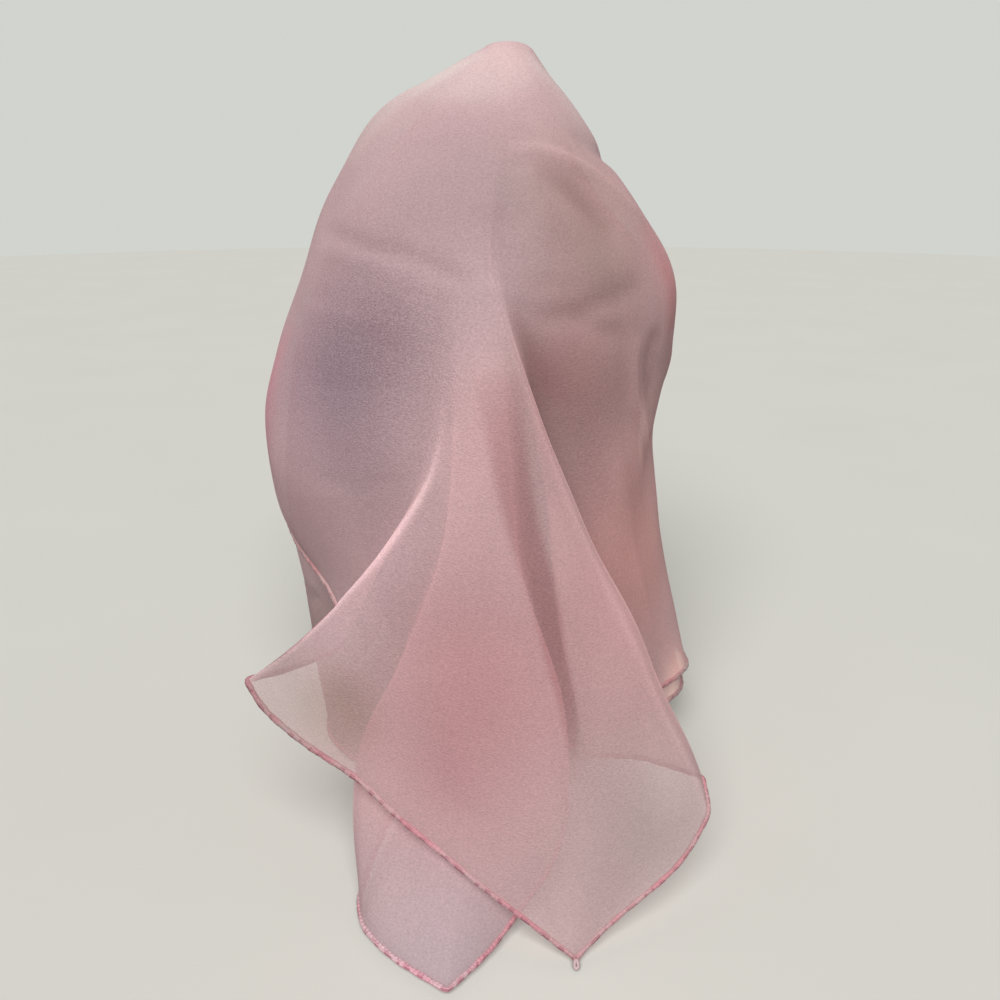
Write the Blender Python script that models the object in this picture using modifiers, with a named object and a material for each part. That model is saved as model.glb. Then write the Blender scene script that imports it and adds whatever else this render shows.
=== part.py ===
"""A square chiffon scarf, folded to two layers and dropped over a display head form.

Millimetres in the tables, metres in Blender. +X is the wearer's left as seen from the front (the
viewer's right), -Y is the front, +Z is up, and the origin is the middle of the form's base.

Each layer is one sheet, described by its fold lines. A fold line runs from the peak over a shoulder
and the brow, past a waist and a knee, down to the hem. A smooth curve is drawn down each fold line
and another round each level, and Solidify gives the sheet its wall.
"""
import math
from typing import NamedTuple

import bpy
import numpy as np

MM = 0.001

CLOTH_THICKNESS = 1.0
SEAM_GAP = 0.5            # between two stretches of one layer
HEM_RADIUS = 1.1          # of the rolled hem
HEM_GAP = 0.35            # from the cloth's edge to the rolled hem
LEAST_MITRE = 0.5         # the sharpest corner that the hem is carried round
FLOOR_GAP = 0.3           # under the rolled hem
TURN_START = 0.35         # how far past the hem's end the turned edge starts, as a share of a column
FOLDED_EDGE_RADIUS = 2.3  # of the turned edge that joins the two layers at the back

PEAK_X = 3.0
OUTER_PEAK_Z = 299.4
INNER_PEAK_Z = 297.9
OUTER_RIM_RADIUS = 10.0   # round top of the peak
INNER_RIM_RADIUS = 8.8
RIM_DROP = 2.6
CROWN_FRONT_BULGE = 5.0   # how far the crown rounds forward between the cheek and the right front
INNER_BROW_DROP = 3.0     # how far the inner layer's brow lies below the outer one's
KNEE_SHARE = 0.75         # where the knee of a close-hanging fold lies on the way from brow to hem
CRISP_FROM = 0.7          # the share of the way down from which the corner's fold turns crisp

HEAD_X = -9.0
HEAD_Y = -3.0
HEAD_WIDEST_Z = 182.0
HEAD_HALF_WIDTH = 62.0
HEAD_HALF_DEPTH = 79.0
HEAD_TOP_Z = 282.0
HEAD_TAPER = 1.64         # power of the sine above the widest level, where 1 would be an ellipse
HEAD_BELOW = 200.0        # from the widest level to where its lower ellipse would close
HEAD_RINGS = 11           # above the widest level, and again below it
PEG_RADIUS = 5.5
PEG_FOOT_Z = 250.0        # its lower end, inside the block
PEG_TOP_Z = 297.1         # 0.3 below the inner layer
PEG_TIP = ((0.0, 0.0), (0.6, 1.6), (1.0, 3.6))   # share of the peg's radius, depth below its top
BASE_RADIUS = 60.0
BASE_HEIGHT = 12.0
BASE_CHAMFER = 2.0
FORM_GAP = 0.3
TURN_STEPS = 36

ROWS_BETWEEN_STATIONS = (3, 3, 4, 4, 4)   # peak, shoulder, brow, waist, knee, hem
COLUMNS_PER_FOLD = 2
BROW_ROW = sum(ROWS_BETWEEN_STATIONS[:2])


class BodyFold(NamedTuple):
    """A fold line of the part that hangs close round the form."""
    name: str
    dome: float     # how far the crown bulges over a straight line from peak to brow
    brow: tuple
    waist: tuple
    hem: tuple


class InnerBodyFold(NamedTuple):
    """A fold line of the inner layer, set in from the outer layer's fold line of the same name."""
    name: str
    dome: float
    brow_inset: float
    waist_inset: float
    hem: tuple


class FrontFold(NamedTuple):
    """A fold line of the cone of cloth that hangs from the brow."""
    name: str
    dome: float
    brow: tuple
    waist: tuple
    knee: tuple
    hem: tuple


# name, dome, brow, waist, hem
OUTER_BODY = (
    BodyFold("right_front", 9, (34, -84, 213), (46, -80, 128), (62, -66, 40)),
    BodyFold("right_side", 6, (60, -58, 212), (60, -50, 140), (79, -48, 40)),
    BodyFold("right_edge", 2, (72, -18, 208), (67, -18, 138), (88.5, -24, 33)),
    BodyFold("right_back", 2, (70, 22, 208), (62, 20, 128), (84, 16, 28)),
    BodyFold("back_trough_a", 4, (60, 54, 209), (50, 48, 125), (60, 52, 26)),
    BodyFold("back_ridge_a", 8, (42, 78, 210), (46, 86, 122), (54, 94, 25)),
    BodyFold("back_trough_b", 9, (18, 91, 210), (14, 84, 120), (18, 84, 25)),
    BodyFold("back_ridge_b", 11, (-8, 94, 210), (-8, 104, 120), (-6, 114, 24)),
    BodyFold("back_trough_c", 11, (-34, 85, 210), (-32, 78, 122), (-32, 80, 28)),
    BodyFold("back_ridge_c", 12, (-56, 68, 210), (-62, 74, 126), (-64, 82, 40)),
    BodyFold("left_back", 14, (-72, 42, 211), (-72, 38, 134), (-72, 44, 62)),
    BodyFold("left_edge", 15, (-80, 6, 212), (-91, 0, 152), (-92.5, 6, 92)),
    BodyFold("left_side", 15, (-80, -28, 212), (-96, -36, 162), (-93, -31, 105)),
    BodyFold("left_front", 14, (-66, -62, 212), (-84, -72, 156), (-76.5, -64.5, 101)),
    BodyFold("left_cheek", 12, (-41, -84, 212), (-52, -98, 152), (-63, -85, 94)),
)

# name, dome, brow, waist, knee, hem
OUTER_FRONT = (
    FrontFold("left_valley", 11, (-20, -93, 211), (-29, -110, 151), (-44, -105, 115), (-60, -94, 82)),
    FrontFold("left_return", 10, (-17, -95, 212), (-28, -113, 150), (-50, -113, 112), (-76, -107, 79)),
    FrontFold("left_ridge", 10, (-14, -96.5, 213), (-26, -116, 149), (-56, -119, 111), (-91, -115, 78)),
    FrontFold("left_turn", 10, (-12, -97.5, 213), (-22, -119, 147), (-52, -124, 106), (-84, -121, 69)),
    FrontFold("left_panel", 10, (-10, -98.5, 213), (-13, -124, 141), (-31, -133, 92), (-48, -136, 49)),
    FrontFold("mid_panel", 10, (-7, -99.5, 213), (-4, -127, 135), (-9, -142, 77), (-13, -153, 27)),
    FrontFold("corner", 10, (-5, -100, 213), (8, -128, 131), (17, -149, 66), (25.5, -168, 3)),
    FrontFold("low_panel", 9, (-3.5, -100, 213), (15, -126, 133), (31, -144, 72), (46, -155, 14)),
    FrontFold("right_panel", 9, (-2, -100, 213), (22, -122, 137), (45, -135, 78), (66, -143, 24)),
    FrontFold("right_turn", 9, (-0.5, -99, 213), (26, -117, 141), (52, -128, 86), (75, -132, 34)),
    FrontFold("right_ridge", 8, (1, -97.5, 212.3), (27, -112, 142), (52, -122, 92), (73, -126, 44)),
    FrontFold("right_return", 8, (4, -94, 211.5), (22, -102, 139), (39, -104, 88), (57, -105, 37)),
    FrontFold("right_valley", 8, (9, -91.5, 210), (16, -92, 138), (24, -89, 82), (35, -85, 27)),
)

# name, dome, inset at the brow, inset at the waist, hem
INNER_BODY = (
    InnerBodyFold("right_front", 2, 4, 6, (54, -64, 26)),
    InnerBodyFold("right_side", -2, 5, 6, (74, -50, 28)),
    InnerBodyFold("right_edge", -5, 7, 6, (86, -27, 24)),
    InnerBodyFold("right_back", -5, 6, 5, (80, 14, 24)),
    InnerBodyFold("back_trough_a", -4, 5, 4, (57, 48, 25)),
    InnerBodyFold("back_ridge_a", -1, 5, 4, (51, 89.5, 25)),
    InnerBodyFold("back_trough_b", 0, 5, 4, (18, 79.5, 25)),
    InnerBodyFold("back_ridge_b", 2, 5, 4, (-6, 109.5, 24)),
    InnerBodyFold("back_trough_c", 2, 5, 4, (-31, 75.5, 27)),
    InnerBodyFold("back_ridge_c", 4, 5, 5, (-60, 77, 24)),
    InnerBodyFold("left_back", 6, 5, 7, (-69, 42, 10)),
    InnerBodyFold("left_edge", 7, 6, 8, (-81, 6, 4)),
    InnerBodyFold("left_side", 7, 6, 8.5, (-81, -36, 3.5)),
    InnerBodyFold("left_front", 6, 6, 12.5, (-71, -52, 3.5)),
    InnerBodyFold("left_cheek", 4, 5, 10, (-57, -66, 6)),
)

# name, dome, brow, waist, knee, hem
INNER_FRONT = (
    FrontFold("left_valley", 1.5, (-20, -88, 207), (-24, -94, 128), (-36, -86, 70), (-38, -86, 14)),
    FrontFold("left_return", 0.5, (-16, -90, 208), (-21, -104, 125), (-46, -108, 56), (-46, -114, 8)),
    FrontFold("left_ridge", 0.5, (-14, -91, 208), (-21, -113, 124), (-53, -124, 46), (-51, -142, 5)),
    FrontFold("left_turn", 0.5, (-12, -92, 208), (-18, -116, 121), (-48, -129, 47), (-48, -153, 3.5)),
    FrontFold("left_panel", 0.5, (-10, -92.5, 208), (-13, -118, 118), (-35, -132, 45), (-37, -166, 3)),
    FrontFold("corner", 0.5, (-7, -93, 208), (-8, -120, 116), (-14, -134, 42), (-17, -180, 3)),
    FrontFold("right_panel", 0.5, (-4, -92.5, 208), (0, -119, 116), (4, -134, 44), (0, -160, 5)),
    FrontFold("right_turn", 0.5, (-2, -92, 208), (6, -116, 118), (19, -128, 62), (19, -140, 20)),
    FrontFold("right_ridge", -0.5, (0, -90, 207), (8, -112, 120), (23, -121, 72), (25, -128, 32)),
    FrontFold("right_return", -0.5, (3, -86.5, 207), (9, -101, 122), (17, -103, 74), (22, -106, 28)),
    FrontFold("right_valley", -0.5, (7, -84, 206), (11, -87, 124), (18, -85, 70), (24, -82, 22)),
)

class Stretch(NamedTuple):
    """A stretch of a layer below the brow, from half way past one fold line to half way past another."""
    name: str
    start: str
    end: str


# name, starts past, ends past
STRETCHES = (
    Stretch("right", "right_valley", "right_back"),
    Stretch("back", "right_back", "back_ridge_c"),
    Stretch("left", "back_ridge_c", "left_cheek"),
    Stretch("front_fold", "left_cheek", "right_valley"),
)

# name, colour, roughness, metallic
CHIFFON = ("chiffon", (0.72, 0.42, 0.42), 0.85, 0.0)
HEM_THREAD = ("rolled_hem", (0.66, 0.21, 0.26), 0.7, 0.0)
FORM_PAINT = ("form_paint", (0.19, 0.16, 0.16), 0.6, 0.0)


def smoothstep_blend(start, end, start_slope, end_slope, t):
    """A cubic curve from start to end with the given slopes."""
    return ((2*t**3 - 3*t**2 + 1)*start + (t**3 - 2*t**2 + t)*start_slope
            + (3*t**2 - 2*t**3)*end + (t**3 - t**2)*end_slope)


def parabola(start, middle, end, t):
    """The parabola through start at 0, middle at one half and end at 1."""
    return start*(1 - t)*(1 - 2*t) + middle*4*t*(1 - t) + end*t*(2*t - 1)


def inward(point, distance):
    """Move a point level towards the form's upright axis."""
    level = np.array([point[0] - PEAK_X, point[1], 0.0])
    return np.array(point, float) - level/np.linalg.norm(level)*distance


def fold_stations(fold, peak, rim_radius, outer_body):
    """The six stations of one fold line: peak, shoulder, brow, waist, knee, hem."""
    if isinstance(fold, InnerBodyFold):
        brow = inward(outer_body[fold.name].brow, fold.brow_inset) - np.array([0, 0, INNER_BROW_DROP])
        waist = inward(outer_body[fold.name].waist, fold.waist_inset)
    else:
        brow = np.array(fold.brow, float)
        waist = np.array(fold.waist, float)
    hem = np.array(fold.hem, float)
    hangs_free = isinstance(fold, FrontFold)
    knee = np.array(fold.knee, float) if hangs_free else parabola(brow, waist, hem, KNEE_SHARE)
    level = np.array([brow[0] - peak[0], brow[1] - peak[1], 0.0])
    level /= np.linalg.norm(level)
    top = peak + level*rim_radius - np.array([0, 0, RIM_DROP])
    bulge = (level + np.array([0, 0, 1.0]))/math.sqrt(2)
    shoulder = (top + brow)/2 + bulge*fold.dome
    return np.stack([top, shoulder, brow, waist, knee, hem])


def smooth_crown(stations, folds):
    """Round the crown off at the shoulder level in front, so that the front folds start below it."""
    front = [i for i, fold in enumerate(folds) if isinstance(fold, FrontFold)]
    left = stations[front[0] - 1]
    right = stations[(front[-1] + 1) % len(folds)]
    share = ((stations[front, 2, 0] - left[2, 0])/(right[2, 0] - left[2, 0]))[:, None]
    forward = np.array([0, -CROWN_FRONT_BULGE, 0])
    stations[front, 1] = left[1] + (right[1] - left[1])*share + 4*share*(1 - share)*forward


def down_the_folds(stations):
    """Draw a smooth curve down every fold line, through its stations."""
    span = np.linalg.norm(np.diff(stations, axis=1), axis=2, keepdims=True)**0.5
    slope = np.diff(stations, axis=1)/span
    bend = np.empty_like(stations)
    bend[:, 1:-1] = (slope[:, :-1]*span[:, 1:] + slope[:, 1:]*span[:, :-1])/(span[:, :-1] + span[:, 1:])
    bend[:, 0] = 1.5*slope[:, 0] - 0.5*bend[:, 1]
    bend[:, -1] = 1.5*slope[:, -1] - 0.5*bend[:, -2]
    rows = [stations[:, :1]]
    for i, count in enumerate(ROWS_BETWEEN_STATIONS):
        t = (np.arange(1, count + 1)/count)[None, :, None]
        rows.append(smoothstep_blend(stations[:, i:i + 1], stations[:, i + 1:i + 2],
                                     bend[:, i:i + 1]*span[:, i:i + 1],
                                     bend[:, i + 1:i + 2]*span[:, i:i + 1], t))
    return np.concatenate(rows, axis=1)


def round_the_levels(lines, crisp):
    """Draw a smooth closed curve round every level, straight into the folds that are crisp."""
    after = np.roll(lines, -1, axis=0)
    before = np.roll(lines, 1, axis=0)
    span = np.linalg.norm(after - lines, axis=2, keepdims=True)**0.5 + 1e-6
    span_before = np.roll(span, 1, axis=0)
    bend = (after - lines)/span*span_before + (lines - before)/span_before*span
    bend = bend/(span + span_before)*(1 - crisp)
    t = np.linspace(0, 1, COLUMNS_PER_FOLD, endpoint=False)[None, :, None, None]
    curve = smoothstep_blend(lines[:, None], after[:, None], (bend*span)[:, None],
                             (np.roll(bend, -1, axis=0)*span)[:, None], t)
    return curve.reshape(-1, *lines.shape[1:])


def drape(folds, peak_z, rim_radius, outer_body):
    """The sheet of one layer as a grid of points: [column round the scarf, row down it, xyz]."""
    peak = np.array([PEAK_X, 0.0, peak_z])
    stations = np.stack([fold_stations(fold, peak, rim_radius, outer_body) for fold in folds])
    smooth_crown(stations, folds)
    lines = down_the_folds(stations)
    crisp = np.zeros((len(folds), lines.shape[1], 1))
    corner = [fold.name for fold in folds].index("corner")
    way_down = np.linspace(0, 1, lines.shape[1])
    crisp[corner, :, 0] = np.clip((way_down - CRISP_FROM)/(1 - CRISP_FROM), 0, 1)
    return round_the_levels(lines, crisp)


def fold_column(folds, name):
    """The grid column on which a named fold line lies."""
    return [fold.name for fold in folds].index(name)*COLUMNS_PER_FOLD


def strip_mesh(name, grid, closed, peak=None):
    """An open mesh of quads over a grid, with a fan up to the peak where one is given."""
    columns, rows = grid.shape[:2]
    points = [tuple(p) for p in grid.reshape(-1, 3)*MM]
    faces = []
    for c in range(columns if closed else columns - 1):
        d = (c + 1) % columns
        for r in range(rows - 1):
            faces.append((c*rows + r, c*rows + r + 1, d*rows + r + 1, d*rows + r))
        if peak is not None:
            faces.append((columns*rows, c*rows, d*rows))
    if peak is not None:
        points.append(tuple(peak*MM))
    mesh = bpy.data.meshes.new(name)
    mesh.from_pydata(points, [], faces)
    return mesh


def material(finish):
    """The Principled material of a finish, made once."""
    name, colour, roughness, metallic = finish
    found = bpy.data.materials.get(name)
    if found:
        return found
    made = bpy.data.materials.new(name)
    made.use_nodes = True
    shader = made.node_tree.nodes["Principled BSDF"]
    shader.inputs["Base Color"].default_value = (*colour, 1.0)
    shader.inputs["Roughness"].default_value = roughness
    shader.inputs["Metallic"].default_value = metallic
    return made


def place(name, data, finish, collection):
    """Put a mesh or curve in the scarf's collection with its material."""
    obj = bpy.data.objects.new(name, data)
    data.materials.append(material(finish))
    collection.objects.link(obj)
    return obj


def cloth_wall(obj):
    """Give an open sheet the cloth's thickness, half to each side."""
    wall = obj.modifiers.new("cloth thickness", "SOLIDIFY")
    wall.thickness = CLOTH_THICKNESS*MM
    wall.offset = 0.0
    obj.data.shade_smooth()


def towards(start, end, distance):
    """Points moved a distance from start towards end, but not past the middle."""
    way = end - start
    length = np.linalg.norm(way, axis=-1, keepdims=True)
    return start + way/length*np.minimum(distance, length/2)


def crown_points(grid):
    """A layer's points from the peak's rim to the brow, drawn back from the stretches below."""
    points = grid[:, :BROW_ROW + 1].copy()
    points[:, -1] = towards(points[:, -1], points[:, -2], SEAM_GAP/2)
    return points


def stretch_points(grid, start, end):
    """A layer's points below the brow between two columns, drawn back from their neighbours."""
    columns = grid.shape[0]
    count = (end - start) % columns + 1
    points = grid[[(start + i) % columns for i in range(count)], BROW_ROW:].copy()
    points[0] = towards(points[0], points[1], SEAM_GAP/2)
    points[-1] = towards(points[-1], points[-2], SEAM_GAP/2)
    points[:, 0] = towards(points[:, 0], points[:, 1], SEAM_GAP/2)
    return points


def build_layer(prefix, folds, peak_z, rim_radius, collection):
    """One layer of chiffon: its crown and the stretches below it. Gives back its grid."""
    grid = drape(folds, peak_z, rim_radius, {fold.name: fold for fold in OUTER_BODY})
    name = prefix + "_crown"
    crown = strip_mesh(name, crown_points(grid), True, np.array([PEAK_X, 0.0, peak_z]))
    cloth_wall(place(name, crown, CHIFFON, collection))
    for stretch in STRETCHES:
        name = prefix + "_" + stretch.name
        points = stretch_points(grid, fold_column(folds, stretch.start) + 1,
                                fold_column(folds, stretch.end) + 1)
        cloth_wall(place(name, strip_mesh(name, points, False), CHIFFON, collection))
    return grid


def tube(name, path, radius, finish, collection):
    """A round tube along a path of points."""
    curve = bpy.data.curves.new(name, "CURVE")
    curve.dimensions = "3D"
    curve.bevel_depth = radius*MM
    curve.bevel_resolution = 1
    curve.use_fill_caps = True
    spline = curve.splines.new("POLY")
    spline.points.add(len(path) - 1)
    for point, place_at in zip(spline.points, path):
        point.co = (*(place_at*MM), 1.0)
    return place(name, curve, finish, collection)


def hem_path(grid, start, end):
    """The line just past a layer's lower edge and square to it, from one column to another."""
    columns = grid.shape[0]
    picked = [c % columns for c in range(start - 1, end + 2)]
    edge = grid[picked, -1]
    run = np.diff(edge, axis=0)
    run /= np.linalg.norm(run, axis=1, keepdims=True)
    along = run[:-1] + run[1:]
    along /= np.linalg.norm(along, axis=1, keepdims=True)
    edge = edge[1:-1]
    down = edge - grid[picked[1:-1], -2]
    down -= along*np.sum(down*along, axis=1, keepdims=True)
    down /= np.linalg.norm(down, axis=1, keepdims=True)
    square = np.minimum(np.linalg.norm(np.cross(down, run[:-1]), axis=1),
                        np.linalg.norm(np.cross(down, run[1:]), axis=1))
    path = edge + down*(HEM_RADIUS + HEM_GAP)/np.maximum(square, LEAST_MITRE)[:, None]
    path[:, 2] = np.maximum(path[:, 2], HEM_RADIUS + FLOOR_GAP)
    return path


def turned_edge_path(outer_edge, inner_edge):
    """The line midway below two layers' edges, just clear of both walls."""
    return (outer_edge + inner_edge)/2 - np.array([0, 0, FOLDED_EDGE_RADIUS + HEM_GAP])


def turned(name, profile, finish, collection):
    """A profile of (radius, height) points, top to bottom, turned about the upright axis."""
    mesh = bpy.data.meshes.new(name)
    points = [(radius*MM, 0.0, height*MM) for radius, height in profile]
    mesh.from_pydata(points, [(i, i + 1) for i in range(len(points) - 1)], [])
    obj = place(name, mesh, finish, collection)
    turn = obj.modifiers.new("turn", "SCREW")
    turn.steps = TURN_STEPS
    turn.render_steps = TURN_STEPS
    turn.use_merge_vertices = True
    turn.merge_threshold = 0.00005
    turn.use_smooth_shade = True
    return obj


def head_profile():
    """The block, top to bottom: a tapered dome, and below its widest level a long ellipse."""
    dome = HEAD_TOP_Z - HEAD_WIDEST_Z
    bottom = BASE_HEIGHT + FORM_GAP
    foot = math.pi - math.acos((HEAD_WIDEST_Z - bottom)/HEAD_BELOW)
    profile = []
    for angle in np.linspace(0.0, math.pi/2, HEAD_RINGS, endpoint=False):
        profile.append((HEAD_HALF_WIDTH*math.sin(angle)**HEAD_TAPER, HEAD_WIDEST_Z + dome*math.cos(angle)))
    for angle in np.linspace(math.pi/2, foot, HEAD_RINGS):
        profile.append((HEAD_HALF_WIDTH*math.sin(angle), HEAD_WIDEST_Z + HEAD_BELOW*math.cos(angle)))
    return profile + [(0.0, bottom)]


def build_form(collection, cutters):
    """The display head form: a smooth egg-shaped block joined with its peg, on a round base."""
    peg_profile = [(share*PEG_RADIUS, PEG_TOP_Z - depth) for share, depth in PEG_TIP]
    peg = turned("peg_to_join", peg_profile + [(PEG_RADIUS, PEG_FOOT_Z), (0.0, PEG_FOOT_Z)], FORM_PAINT, cutters)
    peg.location = (PEAK_X*MM, 0.0, 0.0)
    peg.hide_render = True
    peg.display_type = "WIRE"
    head = turned("display_head", head_profile(), FORM_PAINT, collection)
    head.location = (HEAD_X*MM, HEAD_Y*MM, 0.0)
    head.scale = (1.0, HEAD_HALF_DEPTH/HEAD_HALF_WIDTH, 1.0)
    join = head.modifiers.new("peg", "BOOLEAN")
    join.operation = "UNION"
    join.object = peg
    base_profile = [(0.0, BASE_HEIGHT), (BASE_RADIUS - BASE_CHAMFER, BASE_HEIGHT),
                    (BASE_RADIUS, BASE_HEIGHT - BASE_CHAMFER), (BASE_RADIUS, 0.0), (0.0, 0.0)]
    turned("display_base", base_profile, FORM_PAINT, collection)


def main():
    for obj in list(bpy.data.objects):
        bpy.data.objects.remove(obj, do_unlink=True)
    collection = bpy.data.collections.new("chiffon scarf on display head form")
    bpy.context.scene.collection.children.link(collection)
    outer = build_layer("outer", OUTER_BODY + OUTER_FRONT, OUTER_PEAK_Z, OUTER_RIM_RADIUS, collection)
    inner = build_layer("inner", INNER_BODY + INNER_FRONT, INNER_PEAK_Z, INNER_RIM_RADIUS, collection)
    cutters = bpy.data.collections.new("cutters")
    bpy.context.scene.collection.children.link(cutters)
    build_form(collection, cutters)
    fold_start = fold_column(OUTER_BODY, "back_trough_a")
    fold_end = fold_column(OUTER_BODY, "back_trough_c")
    for name, grid in (("outer_hem", outer), ("inner_hem", inner)):
        path = hem_path(grid, fold_end, grid.shape[0] + fold_start)
        tube(name, path, HEM_RADIUS, HEM_THREAD, collection)
    path = turned_edge_path(outer[fold_start:fold_end + 1, -1], inner[fold_start:fold_end + 1, -1])
    for end, neighbour in ((0, 1), (-1, -2)):
        path[end] += (path[neighbour] - path[end])*TURN_START
    tube("folded_edge", path, FOLDED_EDGE_RADIUS, CHIFFON, collection)


main()
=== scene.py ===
"""Looks of a square chiffon scarf, folded to two layers and dropped over a display head form.

The tables are in millimetres and the meshes in metres, in the frame's own axes: +X the viewer's
right, -Y the front, +Z up, with the origin in the middle of the form's base. A layer of cloth is
worked out from its fold lines, as the solids are, but more finely and with its creases.
"""
import math
from typing import NamedTuple

import bpy
import numpy as np
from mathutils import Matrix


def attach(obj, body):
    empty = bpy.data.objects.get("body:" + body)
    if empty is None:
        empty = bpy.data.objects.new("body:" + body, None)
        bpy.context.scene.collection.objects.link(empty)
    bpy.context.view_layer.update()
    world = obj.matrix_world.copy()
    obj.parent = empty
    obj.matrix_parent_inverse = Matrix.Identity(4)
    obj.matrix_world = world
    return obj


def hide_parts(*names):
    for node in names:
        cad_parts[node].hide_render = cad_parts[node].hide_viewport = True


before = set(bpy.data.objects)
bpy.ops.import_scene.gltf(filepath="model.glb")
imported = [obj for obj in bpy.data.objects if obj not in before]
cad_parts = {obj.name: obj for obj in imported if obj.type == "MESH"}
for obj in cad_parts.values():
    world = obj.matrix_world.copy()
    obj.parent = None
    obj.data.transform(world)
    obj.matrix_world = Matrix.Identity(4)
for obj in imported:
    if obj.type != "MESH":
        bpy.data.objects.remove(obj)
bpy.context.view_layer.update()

MM = 0.001

PEAK_X = 3.0
OUTER_PEAK_Z = 299.4
INNER_PEAK_Z = 297.9
OUTER_RIM_RADIUS = 10.0       # round top of the peak
INNER_RIM_RADIUS = 8.8
RIM_DROP = 2.6
CROWN_FRONT_BULGE = 5.0       # how far the crown rounds forward between the cheek and the right front
INNER_BROW_DROP = 3.0         # how far the inner layer's brow lies below the outer one's
KNEE_SHARE = 0.75             # where the knee of a close-hanging fold lies on the way from brow to hem

ROWS_BETWEEN_STATIONS = (24, 24, 32, 32, 32)   # peak's rim, shoulder, brow, waist, knee, hem
COLUMNS_PER_FOLD = 16
CAP_ROWS = 7                  # rings between the peak and its rim

LINE_SAMPLES = 40             # points along a given line
LINE_FADE = 0.6               # power of the sine by which a line fades out towards its ends
WAVER = 0.28                  # how far the cloth wavers in and out
# each of the waver's sines: radians per millimetre along x, y and z, and its phase
WAVES = ((0.11, 0.07, 0.05, 0.3), (-0.09, 0.12, 0.04, 1.9), (0.05, -0.10, 0.13, 4.1),
         (0.19, 0.03, -0.06, 2.6), (0.04, 0.17, 0.09, 5.2))
CREASE_SHADE = 0.10           # how much darker the deepest troughs are
CREASE_FULL = 1.2             # the depth at which that is nearly reached
CREASE_BROAD = 6.0            # creases from this width on are too soft to shade
CALM_ROWS = 30                # rows below the peak over which the waver sets in
SINGLE_FROM = (0.82, 0.98)    # shares of the way down between which a doubled flap thins to one layer

HEM_RADIUS = 1.1
HEM_THIN = 0.78               # share of that radius where the edge is rolled tightest
HEM_OVERLAP = 0.5             # how far the hem's middle lies below the cloth's edge
HEM_STEP = 0.8                # between the hem tube's rings
HEM_SIDES = 14
HEM_TAPER = 2.5               # length over which an end of the hem closes
HEM_TIGHTEST = 0.62           # share of the edge's length at which it is rolled tightest
HEM_TIGHT_REACH = 110.0
HEM_KNOBS = 0.05              # how uneven the roll is
HEM_KNOBS_TURN = 2.1          # radians per millimetre
HEM_TIP = 0.02                # share of its section's area that an end of the hem closes with
TWIST_PITCH = 9.0             # one turn of the rolled edge
TWIST_DEPTH = 0.09
TWIST_WANDER = 1.3            # how far, in radians, the twist runs ahead and behind
TWIST_WANDER_LENGTH = 17.0
TAIL_LENGTH = 4.0             # the loop of thread at the outer corner
TAIL_WIDTH = 0.65
TAIL_RADIUS = 0.6
TAIL_TURN = 0.9               # share of a whole turn that the loop makes
TAIL_AHEAD = 0.8              # how far it reaches forward and down, over its length
TAIL_DOWN = 0.35
TAIL_STEPS = 24
TAIL_SIDES = 8
FOLD_DEPTH = 3.8              # how far the folded edge hangs below the two layers' edges
FOLD_ROWS = 10

HEAD_X = -9.0
HEAD_Y = -3.0
HEAD_WIDEST_Z = 182.0
HEAD_HALF_WIDTH = 62.0
HEAD_HALF_DEPTH = 79.0
HEAD_TOP_Z = 282.0
HEAD_TAPER = 1.64             # power of the sine above the widest level, where 1 would be an ellipse
HEAD_BELOW = 200.0            # from the widest level to where its lower ellipse would close
HEAD_RINGS = 40
PEG_RADIUS = 5.5
PEG_TOP_Z = 297.1
PEG_TIP = 3.6                 # height of its rounded tip
PEG_FOOT_Z = 250.0            # its lower end, inside the block
BASE_RADIUS = 60.0
BASE_HEIGHT = 12.0
BASE_ROUND = 2.0              # radius of its upper edge
BASE_FOOT_ROUND = 0.5         # bevel of its lower edge
FORM_GAP = 0.3
TURN_STEPS = 96
FLOOR_RADIUS = 3000.0

CHIFFON_COLOUR = (0.80, 0.575, 0.60)
CHIFFON_GLOW = (0.86, 0.59, 0.62)       # the light that comes through it
CHIFFON_GLOW_SHARE = 0.33
CHIFFON_CLEAR = (0.84, 0.80, 0.80)      # what shows between its threads
CHIFFON_COVER = 0.55          # how much of the cloth is thread when seen straight on
CHIFFON_COVER_SLANTED = 0.97  # and when seen edge on
SLANT_POWER = 1.5             # how late that sets in
SHEEN = 0.12
SHEEN_TINT = (1.0, 0.72, 0.75)
CREPE_GRAINS = 1080.0         # per metre
CREPE_STRETCH = 1.9           # how much longer level than upright a grain is
CREPE_CONTRAST = 0.28
CREPE_BUMP = 0.60
CREPE_BUMP_HEIGHT = 0.0005    # metres
CLOUDINESS_SCALE = 34.0       # clouds per metre of the crepe's broad unevenness
CLOUDINESS_STRETCH = 1.2
YARN_UNEVENNESS = (0.3, 0.85)   # how much of the cover goes with the grain, and how much is even
WEAVE_BUMP = 0.05             # height of the weave over the grain's
ROUGH_PATCH = (-46, -90, 196)   # the middle of the patch where the crepe is roughest
ROUGH_REACH = 34.0
ROUGH_GAIN = 1.5              # how much rougher it is there
HEM_SOFT = (0.42, 0.25, 0.265)
HEM_STRONG = (0.44, 0.185, 0.215)
# the deep colour serves both the dark thread dashes and the painted shade under the roll
HEM_DEEP = (0.27, 0.09, 0.115)
DASH_PITCH = 6.0
DASH_WANDER = 24.0            # radians by which the dashes run ahead and behind
STITCH_PITCH = 1.6
TAIL_COLOUR = (0.46, 0.34, 0.35)
HEAD_COLOUR = (0.10, 0.10, 0.14)
PEG_COLOUR = (0.55, 0.38, 0.36)
BASE_COLOUR = (0.62, 0.60, 0.58)
FLOOR_COLOUR = (0.61, 0.605, 0.575)
WORLD_COLOUR = (0.80, 0.82, 0.78)
WORLD_STRENGTH = 0.20         # as light
WORLD_SHOWN = 0.80            # as the camera sees it
LIGHT_PLACE = (-0.1, -1.1, 1.15)    # where it shines from
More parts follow.
